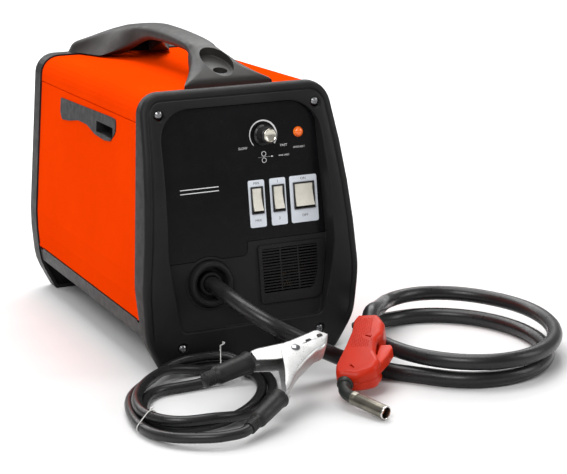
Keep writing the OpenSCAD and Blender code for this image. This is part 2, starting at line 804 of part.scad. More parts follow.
module gas_valve() {
    gx = -62 * wx;
    color([0.72, 0.60, 0.30]) union() {
        rod_y(plate_y - 6, rear_y - 1, gx, 66, 5);
        translate([gx - 9, plate_y - 30, 57]) cube([18, 24, 18]);
        translate([gx, plate_y - 20, 74]) cylinder(r = 8, h = 12);
        rod_y(plate_y - 44, plate_y - 28, gx, 66, 3.5);
        rod_y(plate_y - 1.5, plate_y, gx, 66, 10);
        translate([gx - 12, plate_y - 28.5, tray_in]) cube([24, 16, 16]);
    }
}

module mains_gland() {
    mx = power_x + 20;
    color([0.06, 0.06, 0.065]) difference() {
        union() {
            rod_y(plate_y - 8, plate_y + 6, mx, 72, 8);
            rod_y(plate_y + 5, rear_y - 0.4, mx, 72, 12);
            rod_y(plate_y - 5, plate_y, mx, 72, 12);
        }
        rod_y(plate_y - 10, rear_y + 1, mx, 72, 5);
    }
}

module fan_motor() {
    color([0.30, 0.31, 0.33]) difference() {
        union() {
            rod_y(plate_y - 50, plate_y - 26, fan_x, fan_z, 19);
            for (a = [45 : 90 : 315]) translate([fan_x, plate_y - 50, fan_z]) rotate([0, a, 0]) {
                translate([0, 0, -4]) cube([fan_r + 8, 4, 8]);
                translate([fan_r + 6, 50, 0]) rotate([90, 0, 0]) cylinder(r = 3, h = 50);
            }
        }
        rod_y(plate_y - 44, plate_y, fan_x, fan_z, 2.5 + run_gap);
    }
}

module fan_blades() {
    color([0.12, 0.12, 0.13]) union() {
        rod_y(plate_y - 42, plate_y - 10, fan_x, fan_z, 2.5);
        rod_y(plate_y - 23, plate_y - 9, fan_x, fan_z, 14);
        intersection() {
            rod_y(plate_y - 24, plate_y - 8, fan_x, fan_z, fan_r - 3);
            for (i = [0 : 5]) translate([fan_x, plate_y - 16, fan_z]) rotate([0, i * 60, 0])
                rotate([28, 0, 0]) translate([10, -0.9, -12]) cube([50, 1.8, 24]);
        }
    }
}

// ---- Inside: wire side ----

module feed_motor() {
    x0 = divider_x + 0.8;
    color([0.25, 0.26, 0.28]) difference() {
        union() {
            translate([x0, feed_y - 26, drive_z - 22]) cube([24, 52, 52]);
            rod_x(x0 + 20, x0 + 66, feed_y, drive_z + 8, 19);
            rod_x(x0 + 60, x0 + 69, feed_y, drive_z + 8, 8);
        }
        rod_x(x0 - 5, x0 + 17, feed_y, drive_z, 4 + run_gap);
    }
}

module feed_block() {
    x1 = divider_x - 0.8;
    color([0.55, 0.56, 0.58]) difference() {
        union() {
            translate([x1 - 4, feed_y - 46, 55]) cube([4, 92, 66]);
            translate([wire_x - 6, feed_y + 33, 80]) cube([x1 - wire_x + 4, 12, 18]);
            translate([wire_x - 6, feed_y - 46, 80]) cube([x1 - wire_x + 4, 22, 18]);
            rod_y(feed_y + 20, feed_y + 52, wire_x, wire_z, 3);
            rod_y(panel(wire_z) + 16.5, feed_y - 20, wire_x, wire_z, 5);
            rod_x(wire_x - 9, x1, arm_y, arm_z, 2.5);
            translate([wire_x - 6, feed_y + 28, 98]) cube([14, 14, 4]);
        }
        rod_y(front_y, feed_y + 60, wire_x, wire_z, 0.9);
        rod_x(x1 - 8, x1 + 5, feed_y, drive_z, 7);
    }
}

module drive_roll() {
    color([0.60, 0.60, 0.62]) union() {
        rod_x(wire_x - 9, divider_x + 15, feed_y, drive_z, 4);
        translate([wire_x, feed_y, drive_z]) rotate([0, 90, 0]) rotate_extrude() polygon([
            [3, -6], [drive_r, -6], [drive_r, -0.6], [drive_r - 0.6, 0], [drive_r, 0.6],
            [drive_r, 6], [9, 6], [9, 9], [3, 9]
        ]);
    }
}

module pressure_arm() {
    color([0.16, 0.16, 0.17]) difference() {
        union() {
            along_x(wire_x + 9, wire_x + 14) polygon([
                [arm_y - 8, 107], [feed_y - 24, 107], [feed_y - 12, 94], [feed_y + 9, 94],
                [feed_y + 25, 105], [feed_y + 40, 105], [feed_y + 40, 116], [arm_y - 8, 119]
            ]);
            rod_x(wire_x - 7, wire_x + 14, arm_y, arm_z, 6);
            rod_x(wire_x - 7, wire_x + 10, feed_y, press_z, 2);
            translate([wire_x - 5, feed_y + 24, 108]) cube([18, 16, 8]);
        }
        rod_x(wire_x - 20, divider_x, arm_y, arm_z, 2.5 + run_gap);
        translate([wire_x + 2, feed_y + 32, 100]) cylinder(r = 2.2 + run_gap, h = 30);
    }
}

module pressure_roll() {
    color([0.58, 0.58, 0.60]) translate([wire_x, feed_y, press_z]) rotate([0, 90, 0])
        rotate_extrude() polygon([
            [2 + run_gap, -5], [press_r, -5], [press_r, 5], [6, 5], [6, 7], [2 + run_gap, 7]
        ]);
}

module tension_knob() {
    color([0.55, 0.10, 0.06]) translate([wire_x + 2, feed_y + 32, 0]) union() {
        translate([0, 0, 102.3]) cylinder(r = 2.2, h = 20);
        translate([0, 0, 116.3]) rotate_extrude() polygon([
            [0, 0], [5, 0], [5, 8], [8, 10], [8, 20], [6.5, 22], [0, 22]
        ]);
        for (i = [0 : 7]) rotate([0, 0, i * 45]) translate([7, -0.8, 127]) cube([1.8, 1.6, 9]);
    }
}

module spool_spindle() {
    x1 = divider_x - 0.8;
    color([0.10, 0.10, 0.11]) union() {
        rod_x(spool_x + 0.3, x1, spool_y, spool_z, 34);
        rod_x(spool_x - spool_w - 0.4, spool_x + 1, spool_y, spool_z, spool_bore - 0.08);
        rod_x(spool_x - spool_w - 11, spool_x - spool_w - 0.4, spool_y, spool_z, 22);
        for (a = [0 : 60 : 150]) translate([spool_x - spool_w - 4, spool_y, spool_z])
            rotate([a, 0, 0]) cube([6, 60, 10], center = true);
    }
}

module wire_spool() {
    color([0.09, 0.09, 0.10]) difference() {
        union() {
            rod_x(spool_x - spool_w, spool_x, spool_y, spool_z, 45);
            rod_x(spool_x - 3, spool_x, spool_y, spool_z, spool_r);
            rod_x(spool_x - spool_w, spool_x - spool_w + 3, spool_y, spool_z, spool_r);
        }
        rod_x(-200, 0, spool_y, spool_z, spool_bore);
        for (a = [0 : 60 : 300])
            rod_x(-200, 0, spool_y + 90 * cos(a), spool_z + 90 * sin(a), 4.5);
    }
}

module welding_wire() {
    color([0.72, 0.42, 0.20]) translate([spool_x - spool_w / 2, spool_y, spool_z])
        rotate([0, 90, 0]) rotate_extrude() polygon([
            [45, -spool_w / 2 + 3], [81, -spool_w / 2 + 3], [82.5, -spool_w / 2 + 5],
            [82.5, spool_w / 2 - 5], [81, spool_w / 2 - 3], [45, spool_w / 2 - 3]
        ]);
}

// ---- Leads: tubes swept along routes ----

function mix(a, b, t) = a + (b - a) * t;
function ease(t) = let(c = min(1, max(0, t))) c * c * (3 - 2 * c);

function aim(a, b, c) = unit(unit(b - a) * norm(c - b) + unit(c - b) * norm(b - a));

function between_points(a, b, u, v, t) =
    a * (2 * t * t * t - 3 * t * t + 1) + b * (3 * t * t - 2 * t * t * t)
    + norm(b - a) * (u * (t * t * t - 2 * t * t + t) + v * (t * t * t - t * t));

// A smooth path through the route points from heading d0 to d1, n steps in each stretch
function smooth(pts, n, d0, d1) =
    let(
        m = len(pts),
        d = [for (i = [0 : m - 1])
            i == 0 ? unit(d0) : i == m - 1 ? unit(d1) : aim(pts[i - 1], pts[i], pts[i + 1])]
    )
    concat(
        [for (i = [0 : m - 2], k = [0 : n - 1])
            between_points(pts[i], pts[i + 1], d[i], d[i + 1], k / n)],
        [pts[m - 1]]
    );

function length_of(p, i = 0) = i >= len(p) - 1 ? 0 : norm(p[i + 1] - p[i]) + length_of(p, i + 1);

function heading(p, i) =
    i == 0 ? unit(p[1] - p[0]) :
    i == len(p) - 1 ? unit(p[i] - p[i - 1]) : unit(p[i + 1] - p[i - 1]);

module tube(p, r, n, d0 = [0, 0, 0], d1 = [0, 0, 0]) {
    m = len(p);
    rings = [for (i = [0 : m - 1])
        let(
            d = i == 0 && norm(d0) > 0 ? unit(d0) :
                i == m - 1 && norm(d1) > 0 ? unit(d1) : heading(p, i),
            s = unit(cross(d, [0, 0, 1])),
            u = cross(s, d)
        )
        for (j = [0 : n - 1])
            p[i] + r * (s * cos(360 * j / n) + u * sin(360 * j / n))];
    polyhedron(points = rings, faces = concat(
        [[for (j = [0 : n - 1]) n - 1 - j]],
        [for (i = [0 : m - 2], j = [0 : n - 1])
            [i * n + j, i * n + (j + 1) % n, (i + 1) * n + (j + 1) % n]],
        [for (i = [0 : m - 2], j = [0 : n - 1])
            [i * n + j, (i + 1) * n + (j + 1) % n, (i + 1) * n + j]],
        [[for (j = [0 : n - 1]) (m - 1) * n + j]]
    ));
}

fy = front_y + 211;
socket_out = [0, -cos(lean), sin(lean)];
socket_face = [socket.x, panel(socket.y), socket.y] + socket_out * 1 - socket_out * 2;
d1 = [-0.529, -0.803, -0.274];

// Torch coil: a low turn that climbs over itself; angle runs counter-clockwise from above
function torch_loop(a) =
    let(
        t = ease((a + 110) / 500),
        phi = mix(0, -16, t),
        rx = mix(100, 98, t),
        ry = mix(116, 127, t),
        x = rx * cos(a),
        y = ry * sin(a)
    )
    [
        side_x + mix(201, 219.5, t) + x * cos(phi) - y * sin(phi),
        mix(-277.6, -273.6, t) + x * sin(phi) + y * cos(phi) + fy,
        torch_r + 0.2 + (torch_d + 2) * ease((a - 96) / 100) + 5 * ease((a - 400) / 90)
    ];
torch_a0 = -110;
torch_a1 = 485;
torch_rings = 40;
torch_path = [for (i = [0 : torch_rings]) torch_loop(mix(torch_a0, torch_a1, i / torch_rings))];
torch_in = unit(torch_loop(torch_a0 + 0.5) - torch_loop(torch_a0));
torch_off = unit(torch_loop(torch_a1) - torch_loop(torch_a1 - 0.5));

torch_lead_path = smooth([
    socket_face, [-43.6, -237 + fy, 90], [-32, -268 + fy, 79], [-14, -291 + fy, 66],
    [11, -298 + fy, 51], [37 + 0.3 * side_x, -297 + fy, 2 * torch_d + 1],
    [62 + 0.6 * side_x, -295 + fy, 2 * torch_d - 13], [85 + side_x, -302 + fy, torch_d - 5.5],
    [103 + side_x, -321 + fy, torch_r + 0.3], [121 + side_x, -343 + fy, torch_r + 0.2],
    torch_loop(torch_a0)
], 3, socket_out, torch_in);

torch_tail_path = smooth([
    torch_loop(torch_a1), [162 + side_x, -196 + fy, 41], [135 + side_x, -237 + fy, 51],
    torch_at - d1 * 20, torch_at
], 4, torch_off, d1);

module torch_cable() {
    color([0.03, 0.03, 0.032]) {
        tube(torch_lead_path, torch_r, 12, socket_out, torch_in);
        tube(torch_tail_path, torch_r, 12, torch_off, d1);
    }
}

module torch_coil() {
    color([0.03, 0.03, 0.032]) tube(torch_path, torch_r, 6, torch_in, torch_off);
}

// Earth coil: each turn lies beside or in the groove of the ones before it
function earth_loop(a) =
    let(
        out = 5.8 * ease((a - 475) / 45) + 5.8 * ease((a - 650) / 45)
            + 5 * (ease((a - 842) / 22) - ease((a - 900) / 40)),
        up = ease((a - 475) / 45) - ease((a - 660) / 50)
            + ease((a - 788) / 30) - ease((a - 845) / 45),
        rx = 56 + out,
        ry = 93 + out,
        c = cos(39),
        s = sin(39)
    )
    [
        -98 + rx * cos(a) * c + ry * sin(a) * s,
        -300 - rx * cos(a) * s + ry * sin(a) * c + fy,
        earth_r + 1.1 + (earth_d - 0.8) * up
    ];
earth_a0 = 190;
earth_a1 = 935;
earth_rings = 50;
earth_path = [for (i = [0 : earth_rings]) earth_loop(mix(earth_a0, earth_a1, i / earth_rings))];
earth_in = unit(earth_loop(earth_a0 + 0.5) - earth_loop(earth_a0));
earth_off = unit(earth_loop(earth_a1) - earth_loop(earth_a1 - 0.5));

function clamp_point(p) =
    clamp_at + [p.x, p.y * cos(clamp_turn.x), p.y * sin(clamp_turn.x)];
low_end = low_a + unit(low_dir) * sleeve_l;
sleeve_face = clamp_point(low_end);
sleeve_in = clamp_point(low_end - unit(low_dir)) - sleeve_face;

earth_lead_path = smooth([
    [gland.x, front_y - 5, gland.y], [34, -241 + fy, 24], [17, -259 + fy, 24],
    [-8, -265 + fy, 23.5], [-33, -264 + fy, 19], [-58, -262 + fy, 12], [-83, -261 + fy, 7],
    [-107, -261.5 + fy, 6.4], [-132, -263.5 + fy, 6.4], earth_loop(earth_a0)
], 3, [0, -1, 0], earth_in);

earth_tail_path = smooth([
    earth_loop(earth_a1), [-170, -397 + fy, 8], [-151, -415 + fy, 10], [-127, -426.5 + fy, 11.4],
    sleeve_face
], 4, earth_off, sleeve_in);

module earth_cable() {
    color([0.03, 0.03, 0.032]) {
        tube(earth_lead_path, earth_r, 10, [0, -1, 0], earth_in);
        tube(earth_tail_path, earth_r, 10, earth_off, sleeve_in);
    }
}

module earth_coil() {
    color([0.03, 0.03, 0.032]) tube(earth_path, earth_r, 6, earth_in, earth_off);
}

// A flat band across heading h, drawn round strands whose centres are pts = (side, height)
module tie(at, h, pts) {
    translate([at.x, at.y, 0]) rotate([90, 0, h - 90]) translate([0, 0, -0.9]) linear_extrude(1.8)
        difference() {
            polygon(fillet(inset(pts, -earth_r - 1.05)));
            polygon(fillet(inset(pts, -earth_r - 0.7)));
        }
}

function across(p, at, h) = [(p.x - at.x) * sin(h) - (p.y - at.y) * cos(h), p.z, 0.06];
function turn_of(v) = atan2(v.y, v.x);

function pair(a, b) =
    let(u = unit([b.x - a.x, b.y - a.y]), n = [-u.y, u.x, 0] * 0.1)
    [a - n, b - n, b + n, a + n];

module cable_ties() {
    p = earth_tail_path[2];
    hp = turn_of(earth_tail_path[3] - earth_tail_path[1]);
    q = earth_loop(820);
    hq = turn_of(earth_loop(821) - earth_loop(819));
    color([0.85, 0.85, 0.83]) {
        tie(p, hp, [
            across(earth_loop(249), p, hp) - [0.65, 0, 0], across(p, p, hp),
            across(earth_loop(607), p, hp) - [0.3, 0, 0]
        ]);
        tie(q, hq, pair(across(earth_loop(460), q, hq), across(q, q, hq)));
        translate([q.x, q.y, q.z + earth_r + 0.6]) rotate([15, 20, 0]) cylinder(r = 0.8, h = 12);
    }
}

// ---- Torch ----

module in_torch() {
    translate(torch_at) rotate(torch_turn) children();
}

torch_pts = [
    [0, -10.5, 3], [10, -14, 8], [30, -14, 20], [60, -18, 30], [92, -23.5, 20], [108, -22, 7],
    [112, 0, 12], [104, 18, 12], [88, 22, 10], [70, 15, 12], [50, 14, 20], [38, 20, 10],
    [18, 20, 12], [5, 14, 6], [0, 10.5, 3]
];

module shell_space() {
    translate([117, neck_t, 0]) rotate([0, -90, 0]) cylinder(r = neck_r + run_gap, h = 27);
    translate([47, 5.9, -6.5]) cube([46, 40, 13]);
    translate([30, -8, -9]) cube([60, 14, 18]);
    translate([8, -6, -6]) cube([30, 12, 12]);
    translate([86, 12, -14]) cylinder(r = 1.5 + run_gap, h = 24);
}

module torch_shell_upper() {
    color([0.80, 0.10, 0.03]) in_torch() difference() {
        translate([0, 0, 0.1]) linear_extrude(13.4) polygon(fillet(torch_pts));
        shell_space();
        for (i = [0 : 6]) translate([9 + 3 * i, -20, 12.6]) cube([1.2, 38, 2]);
    }
}

module torch_shell_lower() {
    color([0.78, 0.10, 0.03]) in_torch() difference() {
        translate([0, 0, -13.5]) linear_extrude(13.5) polygon(fillet(torch_pts));
        shell_space();
        for (i = [0 : 6]) translate([9 + 3 * i, -20, -14.6]) cube([1.2, 38, 2]);
    }
}

module torch_neck() {
    color([0.08, 0.08, 0.085]) in_torch() difference() {
        union() {
            translate([95, neck_t, 0]) rotate([0, 90, 0]) cylinder(r = neck_r, h = 22.5);
            translate([117, neck_t + bend_r, 0]) rotate([0, 0, -90]) rotate_extrude(angle = bend_a)
                translate([bend_r, 0]) circle(neck_r - 0.3);
            neck_end() translate([0, 0, -0.5]) cylinder(r = neck_r, h = 4.5);
            neck_end() translate([0, 0, 3]) cylinder(r = 4.5, h = 9);
        }
        neck_end() translate([0, 0, 8]) cylinder(r = 2.02, h = 6);
    }
}

module neck_end() {
    translate([117 + bend_r * sin(bend_a), neck_t + bend_r * (1 - cos(bend_a)), 0])
        rotate([0, 90, bend_a]) children();
}

module gas_nozzle() {
    color([0.66, 0.64, 0.60]) in_torch() neck_end() rotate_extrude() polygon([
        [4.55, 4], [7, 4], [7, 49], [5.9, 49], [5.9, 8], [4.55, 8]
    ]);
}

module contact_tip() {
    color([0.75, 0.42, 0.22]) in_torch() neck_end() difference() {
        union() {
            translate([0, 0, 8]) cylinder(r = 2, h = 6);
            translate([0, 0, 12]) cylinder(r = 3, h = 32);
        }
        translate([0, 0, 9]) cylinder(r = 0.7, h = 40);
    }
}

module torch_trigger() {
    color([0.78, 0.09, 0.03]) in_torch() difference() {
        translate([0, 0, -6]) linear_extrude(12) polygon(fillet([
            [50, 17, 2], [50, 29, 3], [57, 31, 4], [69, 28, 12], [90, 19, 4], [90, 9, 3],
            [83, 9, 3], [70, 15.5, 4]
        ]));
        translate([86, 12, -20]) cylinder(r = 1.5 + run_gap, h = 40);
    }
}

module trigger_switch() {
    color([0.12, 0.12, 0.13]) in_torch() union() {
        translate([56, -8, -5]) cube([20, 12, 10]);
        translate([60, 3, -2]) cube([4, 4, 4]);
        translate([86, 12, -10]) cylinder(r = 1.5, h = 20);
        translate([74, -7, -3]) cube([12, 5, 6]);
    }
}

// ---- Earth clamp ----

module in_clamp() {
    translate(clamp_at) rotate(clamp_turn) children();
}

module along_sleeve(a, d) {
    translate([a.x, a.y, 0]) rotate([0, 90, atan2(d.y, d.x)]) children();
}

module sheet(z0, z1) {
    translate([0, 0, z0]) linear_extrude(z1 - z0) children();
}

module clamp_lower_arm() {
    cheek = [
        [39.6, 11.2], [33.3, -2.1], [22, -7], [6.6, -16.8], [-10.2, -30.3], [-24.7, -46.7],
        [-28.5, -43], [-20, -24], [-13, -8], [-9.5, 4], [-3, 9.5], [5, 8.5], [9, 3.4], [39.4, 11.2]
    ];
    color([0.74, 0.74, 0.73]) in_clamp() difference() {
        union() {
            for (s = [-1, 1]) sheet(s > 0 ? 9.6 : -11, s > 0 ? 11 : -9.6) polygon(cheek);
            sheet(-11, 11) polygon(strip(low_out, -1.5));
            sheet(-9.8, 9.8) polygon([[14, 3.2], [39, 10.2], [39.4, 11.6], [14, 4.7]]);
            along_sleeve(low_a, low_dir) translate([-1, -7.5, -3]) cube([2, 15, 44]);
        }
        translate([0, 0, -20]) cylinder(r = 3.02, h = 40);
    }
}

module clamp_upper_arm() {
    cheek = [
        [39.6, 12.4], [40.4, 13], [32, 21.7], [12, 16.6], [-6.4, 11.8], [-38.6, 9.6], [-42, 8.6],
        [-44, -6], [-23.8, -9.1], [-8, -9], [0, -8.5], [6, -6], [9, 4.6]
    ];
    color([0.76, 0.76, 0.75]) in_clamp() difference() {
        union() {
            for (s = [-1, 1]) sheet(s > 0 ? 7.8 : -9.2, s > 0 ? 9.2 : -7.8) polygon(cheek);
            sheet(-9.2, 9.2) polygon(strip(up_out, 1.5));
            sheet(-8, 8) polygon([[14, 6], [39.4, 12.9], [39.6, 14.2], [14, 7.4]]);
            along_sleeve(up_a, up_dir) translate([-1, -7.5, -3]) cube([2, 15, 44]);
            sheet(-7.5, 7.5) polygon([[-40, 9.4], [-46, 7.2], [-46, 0], [-42, 0]]);
        }
        translate([0, 0, -20]) cylinder(r = 3 + run_gap, h = 40);
        // Notches that hold a rod across the jaw
        sheet(-20, 20) polygon(fillet([
            [14.6, 5.4, 1.5], [21.4, 7.2, 1.5], [20.8, 10.9, 1.8], [14.2, 9.2, 1.8]
        ]));
        sheet(-20, 20) polygon(fillet([
            [28.4, 9.2, 1.5], [35.4, 11.2, 1.5], [35, 15.6, 2], [28.6, 13.9, 2]
        ]));
    }
}

module sleeve(a, d, r) {
    in_clamp() along_sleeve(a, d) difference() {
        rotate_extrude() polygon([
            [0, 4], [r + 0.8, 4], [r + 1.2, 6], [r, 10], [r - 0.6, 44], [r - 2.6, 47],
            [r - 2.6, sleeve_l], [0, sleeve_l]
        ]);
        translate([-1.05, -7.55, -1]) cube([2.1, 15.1, 43]);
    }
}

module clamp_lower_sleeve() {
    color([0.03, 0.03, 0.032]) sleeve(low_a, low_dir, 9.2);
}

module clamp_upper_sleeve() {
    color([0.03, 0.03, 0.032]) sleeve(up_a, up_dir, 10.2);
}

module clamp_pivot() {
    color([0.70, 0.70, 0.69]) in_clamp() union() {
        translate([0, 0, -12.4]) cylinder(r = 3, h = 24.8);
        for (s = [-1, 1]) translate([0, 0, s * 11.7]) cylinder(r = 4.6, h = 1.4, center = true);
    }
}

// Torsion spring: four curls and two legs round the rivet
spring_r = 4.6;
spring_a0 = -43;
spring_a1 = 1522;
spring_n = 35;
spring_path = concat(
    [[-19, -27, -5.2]],
    [for (i = [0 : spring_n])
        let(a = mix(spring_a0, spring_a1, i / spring_n))
        [spring_r * cos(a), spring_r * sin(a), mix(-5, 5, i / spring_n)]],
    [[-20, 7.5, 5.2]]
);

module clamp_spring() {
    color([0.35, 0.35, 0.36]) in_clamp() rotate([90, 0, 0])
        tube([for (p = spring_path) [p.x, p.z, -p.y]], 0.8, 6);
}

echo(torch_lead_mm = length_of(torch_lead_path), torch_coil_mm = length_of(torch_path),
    torch_tail_mm = length_of(torch_tail_path));
echo(earth_lead_mm = length_of(earth_lead_path), earth_coil_mm = length_of(earth_path),
    earth_tail_mm = length_of(earth_tail_path));

// Least gap between the turns of a coil: ring centres at least half a turn apart
function least(p, r, skip) = min([for (i = [0 : len(p) - 1 - skip])
    min([for (j = [i + skip : len(p) - 1]) norm(p[i] - p[j])])]) - 2 * r;
echo(torch_coil_gap = least(torch_path, torch_r, 15), earth_coil_gap = least(earth_path, earth_r, 15));

base_tray();
front_bezel();
control_fascia();
vent_grille();
rear_frame();
top_cover();
carry_handle();
case_screws();
side_door();
door_grip();
speed_pot();
speed_knob();
knob_cap();
lamp_lens();
switch_plates();
switch_frames();
step_rocker();
range_rocker();
power_rocker();
torch_socket();
earth_gland();
divider_plate();
transformer_core();
primary_winding();
secondary_winding();
choke();
rectifier();
control_board();
gas_valve();
mains_gland();
fan_motor();
fan_blades();
feed_motor();
feed_block();
drive_roll();
pressure_arm();
pressure_roll();
tension_knob();
spool_spindle();
wire_spool();
welding_wire();
torch_cable();
torch_coil();
torch_shell_upper();
torch_shell_lower();
torch_neck();
gas_nozzle();
contact_tip();
torch_trigger();
trigger_switch();
earth_cable();
earth_coil();
cable_ties();
clamp_lower_arm();
clamp_lower_sleeve();
clamp_upper_arm();
clamp_upper_sleeve();
clamp_pivot();
clamp_spring();
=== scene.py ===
"""Blender scene of a portable wire welder with its torch, earth clamp and leads.

Lengths in the classes are millimetres in the shared frame: +X right, +Y rear, +Z up, with the
origin in the middle of the casing's footprint. Meshes are written in metres.
"""

from __future__ import annotations

import json
import logging
import math
from collections.abc import Callable, Iterable, Sequence
from dataclasses import dataclass, field
from enum import Enum
from functools import cache

import bmesh
import bpy
from mathutils import Euler, Matrix, Vector

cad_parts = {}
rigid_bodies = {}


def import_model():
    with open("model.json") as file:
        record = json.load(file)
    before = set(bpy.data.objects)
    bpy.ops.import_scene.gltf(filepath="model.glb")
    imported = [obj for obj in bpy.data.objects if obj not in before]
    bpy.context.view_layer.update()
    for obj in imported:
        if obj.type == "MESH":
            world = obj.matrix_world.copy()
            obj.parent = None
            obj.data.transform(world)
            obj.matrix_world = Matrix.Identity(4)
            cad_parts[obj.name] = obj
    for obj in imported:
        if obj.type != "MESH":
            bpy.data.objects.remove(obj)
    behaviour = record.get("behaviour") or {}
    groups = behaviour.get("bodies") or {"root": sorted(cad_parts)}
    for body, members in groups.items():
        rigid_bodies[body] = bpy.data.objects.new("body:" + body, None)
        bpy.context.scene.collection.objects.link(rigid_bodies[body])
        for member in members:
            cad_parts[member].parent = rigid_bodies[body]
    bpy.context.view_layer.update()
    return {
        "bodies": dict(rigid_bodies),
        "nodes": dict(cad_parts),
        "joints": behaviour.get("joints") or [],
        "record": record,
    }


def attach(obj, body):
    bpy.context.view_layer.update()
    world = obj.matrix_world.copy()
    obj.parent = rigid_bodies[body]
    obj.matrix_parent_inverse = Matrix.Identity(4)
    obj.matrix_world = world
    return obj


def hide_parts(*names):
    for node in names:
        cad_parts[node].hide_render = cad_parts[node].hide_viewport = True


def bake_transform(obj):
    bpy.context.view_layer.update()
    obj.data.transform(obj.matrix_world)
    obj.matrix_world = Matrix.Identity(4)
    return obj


LOG = logging.getLogger("welder")
MM = 0.001
AXIS = 0.001  # radius, in millimetres, of a turned profile's ends on its own axis
CRISP = 0.01  # edge radius of a cutter that leaves a crisp edge

Corner = tuple[float, float, float]  # across, up, and the corner's radius
Colour = tuple[float, float, float]
Place = tuple[float, float, float]
Pair = tuple[float, float]
Table = tuple[Pair, ...]
Profile = Sequence[Pair]
Object = bpy.types.Object
Tree = bpy.types.NodeTree
Node = bpy.types.Node
Socket = bpy.types.NodeSocket


# -------------------- numbers and outlines


def mix(low: float, high: float, share: float) -> float:
    """The value at that share of the way from low to high."""
    return low + (high - low) * share


def ease(share: float) -> float:
    """A smooth step from 0 to 1."""
    held = min(1.0, max(0.0, share))
    return held * held * (3 - 2 * held)


def quarter(steps: int) -> list[Pair]:
    """What is left of a quarter round at each step: (1 - cosine, 1 - sine).

    Args:
        steps: steps in the quarter.

    Returns:
        The pairs, from 0 to 90 degrees.
    """
    turns = [math.pi / 2 * k / steps for k in range(steps + 1)]
    return [(1 - math.cos(turn), 1 - math.sin(turn)) for turn in turns]


def oblong(x0: float, y0: float, x1: float, y1: float, radius: float) -> list[Corner]:
    """The corners of a rectangle, counter-clockwise, all with one radius."""
    return [(x0, y0, radius), (x1, y0, radius), (x1, y1, radius), (x0, y1, radius)]


def inset(corners: Sequence[Corner], step: float) -> list[Corner]:
    """Moves a closed outline's corners inwards.

    Args:
        corners: (x, z, radius) of each corner, counter-clockwise.
        step: how far inwards, in millimetres; outwards when negative.

    Returns:
        The corners of the moved outline.
    """
    moved = []
    for i, (x, z, radius) in enumerate(corners):
        before, after = corners[i - 1], corners[(i + 1) % len(corners)]
        first = Vector((x - before[0], z - before[1])).normalized()
        second = Vector((after[0] - x, after[1] - z)).normalized()
        one, two = Vector((-first.y, first.x)), Vector((-second.y, second.x))
        place = Vector((x, z)) + (one + two) * step / (1 + one.dot(two))
        moved.append((place.x, place.y, max(0.4, radius - step)))
    return moved


def rounded(corners: Sequence[Corner], arc: int = 10, edge: int = 4) -> list[Vector]:
    """Points along a closed outline, with the same number of points for every inset of it.

    Args:
        corners: (x, z, radius) of each corner, counter-clockwise.
        arc: steps in each corner's arc.
        edge: steps in each straight edge.

    Returns:
        Flat points in order.
    """
    arcs = []
    for i, (x, z, radius) in enumerate(corners):
        here = Vector((x, z))
        before = Vector(corners[i - 1][:2])
        after = Vector(corners[(i + 1) % len(corners)][:2])
        back, on = (before - here).normalized(), (after - here).normalized()
        half = math.acos(max(-1.0, min(1.0, back.dot(on)))) / 2
        if half > 1.565 or radius < 0.01:
            arcs.append([here.copy() for _ in range(arc + 1)])
            continue
        centre = here + (back + on).normalized() * radius / math.sin(half)
        start = here + back * radius / math.tan(half) - centre
        end = here + on * radius / math.tan(half) - centre
        low = math.atan2(start.y, start.x)
        turn = (math.atan2(end.y, end.x) - low + 3 * math.pi) % (2 * math.pi) - math.pi
        arcs.append(
            [
                centre
                + radius * Vector((math.cos(low + turn * k / arc), math.sin(low + turn * k / arc)))
                for k in range(arc + 1)
            ]
        )
    points: list[Vector] = []
    for i, part in enumerate(arcs):
        points += part
        following = arcs[(i + 1) % len(arcs)][0]
        points += [part[-1].lerp(following, k / edge) for k in range(1, edge)]
    return points


def softened(points: Sequence[Sequence[float]], steps: int) -> list[Vector]:
    """A smooth line through the given points.

    Args:
        points: the points it passes through, flat or solid.
        steps: steps between each two of them.

    Returns:
        The points along the line.
    """
    given = [Vector(p) for p in points]
    ends = [given[0] * 2 - given[1], *given, given[-1] * 2 - given[-2]]
    line = []
    for a, b, c, d in zip(ends, ends[1:], ends[2:], ends[3:]):
        for k in range(steps):
            t = k / steps
            line.append(
                0.5
                * (
                    2 * b
                    + (c - a) * t
                    + (2 * a - 5 * b + 4 * c - d) * t * t
                    + (3 * b - a - 3 * c + d) * t * t * t
                )
            )
    return line + [given[-1]]


def routed(
    points: Sequence[Sequence[float]], steps: int, leave: Vector, arrive: Vector
) -> list[Vector]:
    """A lead's smooth path from one heading to another.

    Args:
        points: the points it passes through.
        steps: steps in each stretch.
        leave: heading at the first point.
        arrive: heading at the last point.

    Returns:
        The points along the path.
    """
    given = [Vector(p) for p in points]
    headings = [leave.normalized()]
    for a, b, c in zip(given, given[1:], given[2:]):
        before, after = b - a, c - b
        heading = before.normalized() * after.length + after.normalized() * before.length
        headings.append(heading.normalized())
    headings.append(arrive.normalized())
    path = []
    for i in range(len(given) - 1):
        a, b = given[i], given[i + 1]
        span = (b - a).length
        for k in range(steps):
            t = k / steps
            path.append(
                a * (2 * t**3 - 3 * t * t + 1)
                + b * (3 * t * t - 2 * t**3)
                + span * (headings[i] * (t**3 - 2 * t * t + t) + headings[i + 1] * (t**3 - t * t))
            )
    path.append(given[-1])
    return path


# -------------------- shapes


@dataclass
class Shape:
    """Points in millimetres with the faces between them."""

    points: list[Vector] = field(default_factory=list)
    faces: list[tuple[int, ...]] = field(default_factory=list)

    def add(self, other: Shape) -> Shape:
        """Takes in another shape and returns this one."""
        first = len(self.points)
        self.points += other.points
        self.faces += [tuple(first + i for i in face) for face in other.faces]
        return self

    def placed(self, matrix: Matrix) -> Shape:
        """A copy carried by a matrix in millimetres."""
        return Shape([matrix @ p for p in self.points], list(self.faces))


